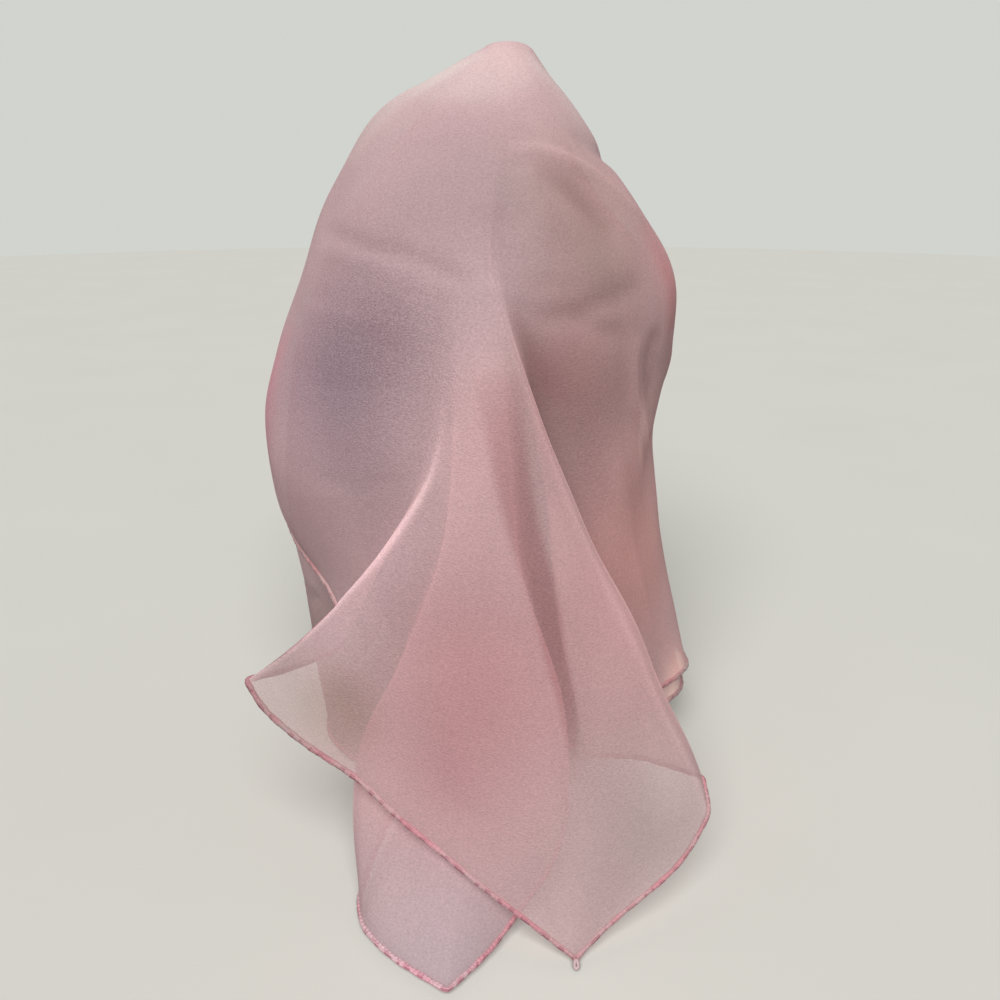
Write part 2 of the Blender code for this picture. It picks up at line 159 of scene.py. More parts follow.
LIGHT_STRENGTH = 4.0
LIGHT_COLOUR = (1.0, 0.99, 0.96)
LIGHT_SPREAD = 45.0           # degrees that it spans, as a wide soft box does
CAMERA_PLACE = (0.0, -0.399, 0.2506)
CAMERA_TILT = 70.0            # degrees from straight down
CAMERA_LENS = 32.4
SENSOR_WIDTH = 36.0


def table(columns, *rows):
    """The rows of a table, with its columns' names."""
    return tuple(columns(*row) for row in rows)


class BodyFold(NamedTuple):
    """A fold line of the part that hangs close round the form."""
    name: str
    dome: float     # how far the crown bulges over a straight line from peak to brow
    brow: tuple
    waist: tuple
    hem: tuple


class InnerBodyFold(NamedTuple):
    """A fold line of the inner layer, set in from the outer layer's fold line of the same name."""
    name: str
    dome: float
    brow_inset: float
    waist_inset: float
    hem: tuple


class FrontFold(NamedTuple):
    """A fold line of the cone of cloth that hangs from the brow."""
    name: str
    dome: float
    brow: tuple
    waist: tuple
    knee: tuple
    hem: tuple


# name, dome, brow, waist, hem
OUTER_BODY = table(
    BodyFold,
    ("right_front", 9, (34, -84, 213), (46, -80, 128), (62, -66, 40)),
    ("right_side", 6, (60, -58, 212), (60, -50, 140), (79, -48, 40)),
    ("right_edge", 2, (72, -18, 208), (67, -18, 138), (88.5, -24, 33)),
    ("right_back", 2, (70, 22, 208), (62, 20, 128), (84, 16, 28)),
    ("back_trough_a", 4, (60, 54, 209), (50, 48, 125), (60, 52, 26)),
    ("back_ridge_a", 8, (42, 78, 210), (46, 86, 122), (54, 94, 25)),
    ("back_trough_b", 9, (18, 91, 210), (14, 84, 120), (18, 84, 25)),
    ("back_ridge_b", 11, (-8, 94, 210), (-8, 104, 120), (-6, 114, 24)),
    ("back_trough_c", 11, (-34, 85, 210), (-32, 78, 122), (-32, 80, 28)),
    ("back_ridge_c", 12, (-56, 68, 210), (-62, 74, 126), (-64, 82, 40)),
    ("left_back", 14, (-72, 42, 211), (-72, 38, 134), (-72, 44, 62)),
    ("left_edge", 15, (-80, 6, 212), (-91, 0, 152), (-92.5, 6, 92)),
    ("left_side", 15, (-80, -28, 212), (-96, -36, 162), (-93, -31, 105)),
    ("left_front", 14, (-66, -62, 212), (-84, -72, 156), (-76.5, -64.5, 101)),
    ("left_cheek", 12, (-41, -84, 212), (-52, -98, 152), (-63, -85, 94)),
)

# name, dome, brow, waist, knee, hem
OUTER_FRONT = table(
    FrontFold,
    ("left_valley", 11, (-20, -93, 211), (-29, -110, 151), (-44, -105, 115), (-60, -94, 82)),
    ("left_return", 10, (-17, -95, 212), (-28, -113, 150), (-50, -113, 112), (-76, -107, 79)),
    ("left_ridge", 10, (-14, -96.5, 213), (-26, -116, 149), (-56, -119, 111), (-91, -115, 78)),
    ("left_turn", 10, (-12, -97.5, 213), (-22, -119, 147), (-52, -124, 106), (-84, -121, 69)),
    ("left_panel", 10, (-10, -98.5, 213), (-13, -124, 141), (-31, -133, 92), (-48, -136, 49)),
    ("mid_panel", 10, (-7, -99.5, 213), (-4, -127, 135), (-9, -142, 77), (-13, -153, 27)),
    ("corner", 10, (-5, -100, 213), (8, -128, 131), (17, -149, 66), (25.5, -168, 3)),
    ("low_panel", 9, (-3.5, -100, 213), (15, -126, 133), (31, -144, 72), (46, -155, 14)),
    ("right_panel", 9, (-2, -100, 213), (22, -122, 137), (45, -135, 78), (66, -143, 24)),
    ("right_turn", 9, (-0.5, -99, 213), (26, -117, 141), (52, -128, 86), (75, -132, 34)),
    ("right_ridge", 8, (1, -97.5, 212.3), (27, -112, 142), (52, -122, 92), (73, -126, 44)),
    ("right_return", 8, (4, -94, 211.5), (22, -102, 139), (39, -104, 88), (57, -105, 37)),
    ("right_valley", 8, (9, -91.5, 210), (16, -92, 138), (24, -89, 82), (35, -85, 27)),
)

# name, dome, inset at the brow, inset at the waist, hem
INNER_BODY = table(
    InnerBodyFold,
    ("right_front", 2, 4, 6, (54, -64, 26)),
    ("right_side", -2, 5, 6, (74, -50, 28)),
    ("right_edge", -5, 7, 6, (86, -27, 24)),
    ("right_back", -5, 6, 5, (80, 14, 24)),
    ("back_trough_a", -4, 5, 4, (57, 48, 25)),
    ("back_ridge_a", -1, 5, 4, (51, 89.5, 25)),
    ("back_trough_b", 0, 5, 4, (18, 79.5, 25)),
    ("back_ridge_b", 2, 5, 4, (-6, 109.5, 24)),
    ("back_trough_c", 2, 5, 4, (-31, 75.5, 27)),
    ("back_ridge_c", 4, 5, 5, (-60, 77, 24)),
    ("left_back", 6, 5, 7, (-69, 42, 10)),
    ("left_edge", 7, 6, 8, (-81, 6, 4)),
    ("left_side", 7, 6, 8.5, (-81, -36, 3.5)),
    ("left_front", 6, 6, 12.5, (-71, -52, 3.5)),
    ("left_cheek", 4, 5, 10, (-57, -66, 6)),
)

# name, dome, brow, waist, knee, hem
INNER_FRONT = table(
    FrontFold,
    ("left_valley", 1.5, (-20, -88, 207), (-24, -94, 128), (-36, -86, 70), (-38, -86, 14)),
    ("left_return", 0.5, (-16, -90, 208), (-21, -104, 125), (-46, -108, 56), (-46, -114, 8)),
    ("left_ridge", 0.5, (-14, -91, 208), (-21, -113, 124), (-53, -124, 46), (-51, -142, 5)),
    ("left_turn", 0.5, (-12, -92, 208), (-18, -116, 121), (-48, -129, 47), (-48, -153, 3.5)),
    ("left_panel", 0.5, (-10, -92.5, 208), (-13, -118, 118), (-35, -132, 45), (-37, -166, 3)),
    ("corner", 0.5, (-7, -93, 208), (-8, -120, 116), (-14, -134, 42), (-17, -180, 3)),
    ("right_panel", 0.5, (-4, -92.5, 208), (0, -119, 116), (4, -134, 44), (0, -160, 5)),
    ("right_turn", 0.5, (-2, -92, 208), (6, -116, 118), (19, -128, 62), (19, -140, 20)),
    ("right_ridge", -0.5, (0, -90, 207), (8, -112, 120), (23, -121, 72), (25, -128, 32)),
    ("right_return", -0.5, (3, -86.5, 207), (9, -101, 122), (17, -103, 74), (22, -106, 28)),
    ("right_valley", -0.5, (7, -84, 206), (11, -87, 124), (18, -85, 70), (24, -82, 22)),
)


class SharpFold(NamedTuple):
    """A fold line that is pressed sharp from one share of the way down to the hem: how crisp it gets,
    how much painted highlight lies within its reach and how much denser the cloth is there."""
    name: str
    start: float
    full: float
    crisp: float
    reach: float
    light: float
    density: float


# name, where it starts, where it is full, crispness, reach, painted highlight, density
OUTER_SHARP = table(
    SharpFold,
    ("corner", 0.70, 1.00, 1.0, 2.0, 0.00, 0.00),
    ("left_ridge", 0.46, 0.58, 0.9, 1.6, 0.22, 0.30),
    ("right_turn", 0.30, 0.36, 0.6, 2.2, 0.06, 0.10),
    ("right_ridge", 0.31, 0.40, 0.9, 1.4, 0.10, 0.20),
)
INNER_SHARP = table(
    SharpFold,
    ("corner", 0.70, 1.00, 1.0, 2.0, 0.00, 0.00),
    ("left_ridge", 0.40, 0.52, 0.9, 1.8, 0.12, 0.20),
    ("right_ridge", 0.40, 0.52, 0.9, 1.8, 0.10, 0.20),
)


class Tone(NamedTuple):
    """How much painted light and shade the cloth has along a fold line, and how dense it is: painted shade
    down the sides of a deep fold, denser where a flap is folded double. It sets in between two shares of the
    way down."""
    name: str
    light: float
    density: float
    start: float = 0.35
    full: float = 0.48


# name, painted light, density, where it starts, where it is full
OUTER_TONES = table(
    Tone,
    ("right_ridge", 1.00, 1.05),
    ("right_return", 0.84, 1.05),
    ("right_valley", 0.76, 1.05),
    ("right_return", 1.14, 1.10, 0.50, 0.60),
    ("right_valley", 1.20, 1.10, 0.50, 0.60),
    ("right_front", 0.94, 1.00),
    ("left_cheek", 0.97, 1.00),
    ("left_valley", 0.98, 1.00),
    ("left_return", 1.04, 1.00),
)
# name, painted light, density, where it starts, where it is full
INNER_TONES = table(
    Tone,
    ("left_cheek", 0.86, 1.00),
    ("left_valley", 0.66, 1.00),
    ("left_return", 0.70, 1.00),
    ("left_ridge", 1.02, 1.30),
    ("left_turn", 1.00, 1.30),
    ("left_panel", 1.00, 1.30),
    ("corner", 1.00, 1.30),
    ("right_panel", 1.00, 1.30),
    ("right_turn", 1.00, 1.30),
    ("right_ridge", 1.02, 1.30),
    ("right_return", 0.44, 1.10),
    ("right_valley", 0.34, 1.10),
    ("right_front", 0.66, 1.05),
    ("right_side", 1.00, 1.00),
)


class Crease(NamedTuple):
    """A soft ridge (height above zero) or trough (below zero) along a line laid on the cloth."""
    name: str
    height: float
    width: float
    line: tuple


# name, height, width, points near the cloth
OUTER_CREASES = table(
    Crease,
    ("left step", -1.4, 2.2, ((-70, -38, 231), (-54, -64, 228), (-41, -76, 226), (-27, -84, 223),
        (-16, -91, 219), (-6, -97, 217))),
    ("left step lip", 0.9, 3.4, ((-72, -42, 224), (-54, -67, 222), (-41, -80, 220), (-27, -88, 217),
        (-14, -95, 213))),
    ("hood ridge", 2.8, 3.0, ((2, -62, 259), (13, -60, 258), (24, -60, 254), (33, -57, 250),
        (43, -55, 242), (54, -50, 232))),
    ("hood hollow", -1.8, 7.0, ((12, -67, 250), (23, -68, 246), (32, -68, 240), (44, -64, 231))),
    ("brow bulge", 1.3, 7.0, ((9, -88, 217), (23, -85, 220), (38, -78, 221), (52, -66, 220))),
    ("brow trough", -1.7, 3.6, ((4, -92, 211), (16, -90, 204), (25, -88, 205), (37, -84, 209),
        (52, -70, 213))),
    ("brow fork", -1.2, 3.0, ((24, -88, 205), (36, -86, 199), (47, -80, 197))),
    ("right pull", 1.9, 2.8, ((51, -76, 196), (49, -78, 184), (50, -76, 172), (55, -66, 158),
        (62, -50, 144))),
    ("right pull trough", -1.8, 3.4, ((57, -66, 198), (56, -67, 186), (57, -64, 172), (62, -52, 156))),
    ("crown fill", 2.6, 7.5, ((9, -68, 254), (11, -76, 245), (12, -81, 236), (12, -86, 226),
        (11, -90, 216))),
    ("brow easing", -1.6, 7.0, ((-4, -80, 240), (-4, -87, 232), (-4, -94, 223), (-3, -98, 216))),
    ("hood notch", -2.4, 5.5, ((26, -50, 262), (36, -34, 258), (42, -14, 254), (43, 6, 252),
        (38, 24, 252))),
    ("left cone pull", 1.2, 3.2, ((-14, -113, 172), (-20, -116, 158), (-26, -117, 148),
        (-40, -118, 130), (-58, -119, 108))),
    ("left cheek dip", -1.3, 9.0, ((-66, -66, 214), (-68, -78, 190), (-64, -86, 165), (-60, -90, 140))),
    ("left cheek sag", 1.0, 8.0, ((-44, -92, 200), (-40, -100, 175), (-38, -103, 150))),
    ("left cheek fold a", 0.5, 3.0, ((-78, -52, 205), (-60, -74, 203), (-41, -88, 202), (-27, -95, 199))),
    ("left cheek fold b", -0.3, 3.4, ((-80, -64, 184), (-61, -84, 180), (-38, -98, 182),
        (-24, -104, 184))),
    ("left cheek fold c", -0.25, 4.0, ((-76, -80, 150), (-53, -98, 146), (-36, -106, 152))),
    ("right low pull a", 0.7, 5.0, ((35, -87, 168), (44, -81, 140), (56, -69, 98), (68, -60, 60))),
    ("right low pull b", -0.6, 4.5, ((46, -80, 150), (57, -69, 112), (70, -57, 66))),
    ("cone drift", -0.9, 6.0, ((4, -134, 112), (16, -142, 90), (30, -147, 64), (42, -152, 30))),
    ("cone swell", 0.9, 7.0, ((-20, -131, 96), (-16, -142, 72), (-6, -150, 48))),
    ("corner drift", 0.8, 6.0, ((48, -135, 74), (60, -138, 50), (66, -140, 34))),
    ("wing drift", -0.7, 5.0, ((-50, -122, 112), (-68, -120, 92), (-80, -119, 76))),
    ("back shoulder ridge", 1.4, 3.8, ((-62, 46, 240), (-38, 68, 234), (-8, 80, 231), (22, 76, 233))),
    ("back shoulder trough", -1.5, 3.4, ((-66, 50, 232), (-38, 76, 226), (-8, 87, 222), (26, 82, 224))),
    ("back sag", -1.6, 5.0, ((58, 60, 205), (32, 84, 196), (2, 96, 199), (-28, 88, 206))),
    ("back swell", 1.5, 7.0, ((50, 68, 184), (22, 90, 174), (-8, 100, 180), (-34, 86, 190))),
    ("back low pull a", -1.3, 5.0, ((44, 84, 152), (20, 88, 122), (6, 94, 90), (0, 104, 56))),
    ("back low pull b", 1.2, 5.0, ((-44, 78, 150), (-24, 84, 116), (-18, 98, 80), (-12, 108, 50))),
    ("left back step", -1.5, 3.0, ((-80, 8, 226), (-78, 26, 218), (-68, 50, 212), (-50, 70, 212))),
    ("left back lip", 1.3, 4.0, ((-82, 8, 219), (-79, 28, 211), (-70, 52, 205), (-52, 72, 205))),
    ("left side pull", 1.4, 5.0, ((-84, -12, 204), (-92, 0, 176), (-88, 22, 146), (-80, 34, 112))),
    ("left side trough", -1.3, 4.0, ((-84, 0, 196), (-90, 12, 170), (-84, 32, 140))),
    ("right back trough", -1.8, 4.5, ((73, -6, 204), (71, 18, 194), (62, 42, 190), (50, 60, 194))),
    ("right back swell", 1.6, 6.0, ((72, 0, 214), (70, 22, 206), (60, 46, 202))),
    ("right side pull", 1.5, 4.5, ((68, -26, 184), (64, -6, 156), (70, 6, 118), (80, 10, 72))),
    ("right side trough", -1.4, 4.0, ((70, -14, 178), (66, 4, 150), (72, 14, 106))),
    ("crown back fold", -1.1, 4.5, ((28, 34, 264), (4, 50, 260), (-26, 44, 258))),
    ("crown left fold", 0.9, 5.0, ((-30, -14, 282), (-48, -10, 268), (-62, -14, 250))),
)

INNER_CREASES = table(
    Crease,
    ("left step", -1.0, 4.0, ((-66, -42, 222), (-50, -64, 218), (-30, -80, 212))),
    ("flap drift", -0.8, 5.0, ((-24, -126, 92), (-30, -136, 56), (-30, -156, 22))),
    ("flap swell", 0.8, 6.0, ((-10, -124, 100), (-6, -136, 60), (-4, -156, 24))),
    ("left low pull", 1.0, 6.0, ((-78, -20, 120), (-82, -24, 70), (-82, -30, 20))),
    ("left low swell", 3.4, 9.0, ((-88, -26, 138), (-87, -36, 124), (-85, -43, 109), (-82, -50, 94),
        (-80, -50, 80))),
    ("back pull", 1.0, 6.0, ((8, 84, 160), (0, 92, 110), (-6, 104, 50))),
    ("right pull", -1.0, 6.0, ((62, -30, 170), (64, -36, 110), (76, -40, 50))),
)


class PaintedLightCloud(NamedTuple):
    """A patch of painted light and shade on the cloth: its tint in the middle, fading over its reach. Its
    edge is the power of the fall: 2 for a soft patch, more for a flatter one with a clearer edge."""
    name: str
    middle: tuple
    reach: float
    tint: tuple
    edge: float = 2.0


class PaintedLightStreak(NamedTuple):
    """A band of painted light and shade along a given line: its tint in the middle, its widths at both ends
    and its edge, which is 2 for a soft band and more for one with a clearer edge."""
    name: str
    tint: tuple
    widths: tuple
    edge: float
    line: tuple


# painted shade and highlights along lines: name, red-green-blue multiplier, widths, edge, points in
# millimetres near the cloth
OUTER_STREAKS = table(
    PaintedLightStreak,
    ("dark band", (0.74, 0.61, 0.61), (8.5, 1.6), 5.0, ((-1, -107, 190), (0, -112, 181), (2, -115, 169),
        (5, -121, 151), (10, -126, 132), (15, -131, 115), (18, -135, 100), (22, -140, 85),
        (24, -146, 73), (25, -148, 65))),
    # the shoulders show one layer only, and they are made paler there by a painted highlight
    ("thin left shoulder", (1.10, 1.26, 1.20), (33.0, 14.0), 8.0, ((-62, -12, 246), (-46, -8, 268),
        (-34, -6, 279), (-22, -5, 287), (-6, -4, 296))),
    ("thin right shoulder", (1.10, 1.26, 1.20), (10.0, 36.0), 8.0, ((10, -2, 297), (18, -4, 290),
        (26, -6, 280), (33, -8, 268), (40, -12, 254))),
    ("hood hollow", (0.74, 0.73, 0.71), (4.5, 6.0), 2.0, ((11, -65, 252), (21, -66, 248),
        (31, -68, 240), (41, -69, 231))),
    ("nose hollow", (0.84, 0.76, 0.76), (4.0, 7.0), 2.0, ((4, -96, 208), (8, -95, 198), (13, -93, 186),
        (19, -92, 172))),
    ("left rim", (1.04, 0.84, 0.90), (13.0, 13.0), 2.0, ((-84, -44, 197), (-90, -48, 180),
        (-92, -54, 162), (-88, -62, 146))),
    ("right rim", (1.03, 0.78, 0.78), (11.0, 11.0), 2.0, ((52, -50, 235), (60, -49, 220),
        (64, -48, 204), (65, -46, 190))),
)
# painted shade along the middle of the inner flap, with the same columns
INNER_STREAKS = table(
    PaintedLightStreak,
    ("flap core", (1.0, 0.88, 0.90), (9.0, 9.0), 2.0, ((-14, -118, 116), (-17, -126, 90),
        (-17, -127, 66), (-18, -136, 44))),
)

# painted light and shade on the cloth: name, middle, reach, red-green-blue multiplier, edge
OUTER_CLOUDS = table(
    PaintedLightCloud,
    ("pale tip", (-9, -26, 292), 25, (1.13, 1.24, 1.21), 6.0),
    ("calm crown", (-20, -80, 245), 50, (0.86, 0.90, 0.91)),
    ("cool cheek", (-60, -82, 184), 30, (0.66, 0.69, 0.79)),
    ("cool brow", (-61, -71, 208), 18, (0.92, 0.92, 0.93)),
    ("dusk by the nose", (-38, -92, 200), 15, (0.88, 0.86, 0.88)),
    ("cool low cheek", (-52, -94, 160), 26, (0.95, 0.97, 1.0)),
    ("pale nose", (-6, -100, 205), 26, (1.06, 1.12, 1.13)),
    ("pale panel", (-8, -114, 174), 28, (1.26, 1.24, 1.24)),
    ("rosy core", (-6, -140, 90), 36, (0.94, 0.82, 0.82)),
    ("dusk below the core", (-16, -145, 58), 16, (0.95, 0.88, 0.90)),
    ("warm hollow", (24, -90, 186), 28, (0.86, 0.74, 0.70)),
    ("warm right side", (60, -68, 110), 50, (1.34, 1.04, 0.94)),
    ("pale right pull", (53, -69, 155), 15, (1.16, 1.14, 1.10)),
    ("warm right rim", (76, -10, 205), 34, (1.08, 0.82, 0.78)),
    ("rosy left rim", (-96, -36, 160), 30, (1.06, 0.88, 0.93)),
    ("shadowed hood", (34, -66, 244), 26, (0.90, 0.84, 0.78)),
    ("shadowed brow", (35, -80, 224), 20, (0.74, 0.76, 0.70)),
    ("shadowed parting", (7, -73, 244), 15, (0.84, 0.88, 0.86)),
    ("shadowed wing patch", (-57, -129, 72), 16, (0.86, 0.84, 0.76), 4.0),
    ("pale wing", (-59, -120, 105), 18, (1.10, 1.14, 1.16)),
    ("dimmer wing tip", (-79, -119, 76), 18, (0.80, 0.85, 0.83)),
    ("dimmer right flap", (53, -146, 36), 26, (0.86, 0.91, 0.89)),
    ("pale left band", (-35, -122, 129), 17, (1.17, 1.17, 1.19)),
    ("pale right corner", (80, -46, 34), 15, (1.90, 1.80, 1.58)),
)
# painted light and shade on the inner layer, with the same columns
INNER_CLOUDS = table(
    PaintedLightCloud,
    ("pale tip", (-9, -26, 290), 25, (1.13, 1.24, 1.21), 6.0),
    ("shade behind the wing", (-67, -62, 44), 34, (0.50, 0.44, 0.34)),
    ("rosy flap", (-12, -134, 74), 50, (0.98, 0.74, 0.76)),
    ("cool foot", (-20, -168, 6), 36, (0.86, 0.94, 1.0)),
    ("pale right corner", (80, -44, 30), 15, (1.90, 1.80, 1.58)),
)
# painted light and shade on the hems, darker and paler at places, with the same columns
HEM_CLOUDS = table(
    PaintedLightCloud,
    ("muted right end", (84, -44, 32), 34, (1.0, 1.05, 0.98)),
    ("dimmer wing", (-80, -118, 66), 30, (0.76, 0.86, 0.82)),
    ("pale left side", (-84, -62, 100), 26, (1.15, 1.25, 1.15)),
    ("bright inner foot", (-34, -170, 4), 30, (1.50, 1.66, 1.75)),
)


class Layer(NamedTuple):
    """All that shapes and colours one layer of the scarf, and the piece that it rests on."""
    name: str
    peak_z: float
    rim_radius: float
    folds: tuple
    sharp_folds: tuple
    tones: tuple
    creases: tuple
    streaks: tuple
    clouds: tuple
    rests_on: str


OUTER = Layer("outer", OUTER_PEAK_Z, OUTER_RIM_RADIUS, OUTER_BODY + OUTER_FRONT, OUTER_SHARP, OUTER_TONES,
              OUTER_CREASES, OUTER_STREAKS, OUTER_CLOUDS, "inner_layer")
INNER = Layer("inner", INNER_PEAK_Z, INNER_RIM_RADIUS, INNER_BODY + INNER_FRONT, INNER_SHARP, INNER_TONES,
              INNER_CREASES, INNER_STREAKS, INNER_CLOUDS, "head_block")


# ---- how the cloth hangs ----

def hermite(start, end, start_slope, end_slope, t):
    """A cubic curve from start to end with the given slopes."""
    return ((2*t**3 - 3*t**2 + 1)*start + (t**3 - 2*t**2 + t)*start_slope
            + (3*t**2 - 2*t**3)*end + (t**3 - t**2)*end_slope)


def parabola(start, middle, end, t):
    """The parabola through start at 0, middle at one half and end at 1."""
    return start*(1 - t)*(1 - 2*t) + middle*4*t*(1 - t) + end*t*(2*t - 1)


def unit(vectors):
    """Vectors over their own lengths."""
    return vectors/np.maximum(np.linalg.norm(vectors, axis=-1, keepdims=True), 1e-9)


def inward(point, distance):
    """A point moved level towards the form's upright axis."""
    level = np.array([point[0] - PEAK_X, point[1], 0.0])
    return np.array(point, float) - unit(level)*distance


def fold_stations(fold, peak, rim_radius, outer_body):
    """The six stations of one fold line: the peak's rim, shoulder, brow, waist, knee and hem."""
    if isinstance(fold, InnerBodyFold):
        brow = inward(outer_body[fold.name].brow, fold.brow_inset) - np.array([0, 0, INNER_BROW_DROP])
        waist = inward(outer_body[fold.name].waist, fold.waist_inset)
    else:
        brow = np.array(fold.brow, float)
        waist = np.array(fold.waist, float)
    hem = np.array(fold.hem, float)
    hangs_free = isinstance(fold, FrontFold)
    knee = np.array(fold.knee, float) if hangs_free else parabola(brow, waist, hem, KNEE_SHARE)
    level = unit(np.array([brow[0] - peak[0], brow[1] - peak[1], 0.0]))
    top = peak + level*rim_radius - np.array([0, 0, RIM_DROP])
    bulge = (level + np.array([0, 0, 1.0]))/math.sqrt(2)
    shoulder = (top + brow)/2 + bulge*fold.dome
    return np.stack([top, shoulder, brow, waist, knee, hem])


def smooth_crown(stations, folds):
    """Round the crown off at the shoulder level in front: a straight line from the fold on the left
    to the one on the right, plus a parabola forward."""
    front = [i for i, fold in enumerate(folds) if isinstance(fold, FrontFold)]
    left = stations[front[0] - 1]
    right = stations[(front[-1] + 1) % len(folds)]
    share = ((stations[front, 2, 0] - left[2, 0])/(right[2, 0] - left[2, 0]))[:, None]
    forward = np.array([0, -CROWN_FRONT_BULGE, 0])
    stations[front, 1] = left[1] + (right[1] - left[1])*share + 4*share*(1 - share)*forward


def down_the_folds(stations):
    """A smooth curve down every fold line: cubics from station to station, whose slope at each one
    is the mean of the slopes on both sides, weighted by the square roots of the distances."""
    span = np.linalg.norm(np.diff(stations, axis=1), axis=2, keepdims=True)**0.5
    slope = np.diff(stations, axis=1)/span
    bend = np.empty_like(stations)
    bend[:, 1:-1] = (slope[:, :-1]*span[:, 1:] + slope[:, 1:]*span[:, :-1])/(span[:, :-1] + span[:, 1:])
    bend[:, 0] = 1.5*slope[:, 0] - 0.5*bend[:, 1]
    bend[:, -1] = 1.5*slope[:, -1] - 0.5*bend[:, -2]
    rows = [stations[:, :1]]
    for i, count in enumerate(ROWS_BETWEEN_STATIONS):
        t = (np.arange(1, count + 1)/count)[None, :, None]
        rows.append(hermite(stations[:, i:i + 1], stations[:, i + 1:i + 2],
                            bend[:, i:i + 1]*span[:, i:i + 1], bend[:, i + 1:i + 2]*span[:, i:i + 1], t))
    return np.concatenate(rows, axis=1)


def round_the_levels(lines, crisp):
    """A smooth closed curve round every level: the same cubics from fold line to fold line, whose
    slopes fade out where a fold is crisp."""
    after = np.roll(lines, -1, axis=0)
    before = np.roll(lines, 1, axis=0)
    span = np.linalg.norm(after - lines, axis=2, keepdims=True)**0.5 + 1e-6
    span_before = np.roll(span, 1, axis=0)
    bend = (after - lines)/span*span_before + (lines - before)/span_before*span
    bend = bend/(span + span_before)*(1 - crisp)
    t = np.linspace(0, 1, COLUMNS_PER_FOLD, endpoint=False)[None, :, None, None]
    curve = hermite(lines[:, None], after[:, None], (bend*span)[:, None],
                    (np.roll(bend, -1, axis=0)*span)[:, None], t)
    return curve.reshape(-1, *lines.shape[1:])


def onset(rows, start, full):
    """For every row, how far a feature has set in: from 0 at one share of the way down to 1 at another."""
    return np.clip((np.linspace(0, 1, rows) - start)/(full - start), 0, 1)


def drape(layer):
    """One layer as a grid of points in millimetres: [column round the scarf, row down it, xyz]."""
    peak = np.array([PEAK_X, 0.0, layer.peak_z])
    outer_body = {fold.name: fold for fold in OUTER_BODY}
    stations = np.stack([fold_stations(fold, peak, layer.rim_radius, outer_body) for fold in layer.folds])
    smooth_crown(stations, layer.folds)
    lines = down_the_folds(stations)
    crisp = np.zeros((len(layer.folds), lines.shape[1], 1))
    for sharp in layer.sharp_folds:
        fold = column_of(layer.folds, sharp.name)//COLUMNS_PER_FOLD
        crisp[fold, :, 0] = sharp.crisp*onset(lines.shape[1], sharp.start, sharp.full)
    return round_the_levels(lines, crisp)


def toned(grid, layer):
    """The painted light and the density of a whole grid from its fold lines' tones: each counts in full
    along its own fold line and falls off evenly to nothing at the two next to it."""
    names = [fold.name for fold in layer.folds]
    place = np.arange(grid.shape[0])/COLUMNS_PER_FOLD
    light = np.ones(grid.shape[:2])
    density = np.ones(grid.shape[:2])
    double = 1 - onset(grid.shape[1], *SINGLE_FROM)[None, :]
    for tone in layer.tones:
        away = np.abs(place - names.index(tone.name))
        away = np.minimum(away, len(names) - away)
        share = np.clip(1 - away, 0, 1)[:, None]*onset(grid.shape[1], tone.start, tone.full)[None, :]
        light += (tone.light - 1)*share
        density += (tone.density - 1)*share*double
    return light, density


def pressed(grid, layer):
    """How much painted highlight and how much more density the cloth has along its sharp folds: a bell curve
    of the length round the level from the fold line. Gives back both multipliers for the whole grid."""
    light = np.ones(grid.shape[:2])
    density = np.ones(grid.shape[:2])
    around = np.cumsum(np.linalg.norm(grid - np.roll(grid, 1, axis=0), axis=2), axis=0)
    for sharp in layer.sharp_folds:
        gap = around - around[column_of(layer.folds, sharp.name)]
        amount = np.exp(-(gap/sharp.reach)**2)*onset(grid.shape[1], sharp.start, sharp.full)[None, :]
        light += sharp.light*amount
        density += sharp.density*amount
    return light, density


def with_cap(grid, peak_z):
    """The grid with rings added over the peak: the rim drawn in to the middle, each ring's drop
    being the rim's times the cube of its share of the radius."""
    share = (np.arange(1, CAP_ROWS)/CAP_ROWS)[None, :, None]
    rim = grid[:, :1]
    cap = np.array([PEAK_X, 0.0, peak_z]) + (rim - [PEAK_X, 0.0, peak_z])*share
    cap[:, :, 2] = peak_z + (rim[:, :, 2] - peak_z)*share[:, :, 0]**3
    return np.concatenate([cap, grid], axis=1)


def normals_of(grid):
    """The outward normals of a closed grid: its slope down crossed with its slope round."""
    around = np.roll(grid, -1, axis=0) - np.roll(grid, 1, axis=0)
    return unit(np.cross(np.gradient(grid, axis=1), around))


def line_on(grid, points):
    """A smooth line through given points, each part of it moved to the nearest point of the
    cloth, then evened out by a running mean of five."""
    points = np.array(points, float)
    slope = np.gradient(points, axis=0)
    where = np.linspace(0, len(points) - 1, LINE_SAMPLES)
    i = np.minimum(where.astype(int), len(points) - 2)
    line = hermite(points[i], points[i + 1], slope[i], slope[i + 1], (where - i)[:, None])
    cloth = grid.reshape(-1, 3)
    line = np.stack([cloth[np.argmin(np.sum((cloth - p)**2, axis=1))] for p in line])
    padded = np.concatenate([line[:1]]*2 + [line] + [line[-1:]]*2)
    return sum(padded[k:k + len(line)] for k in range(5))/5


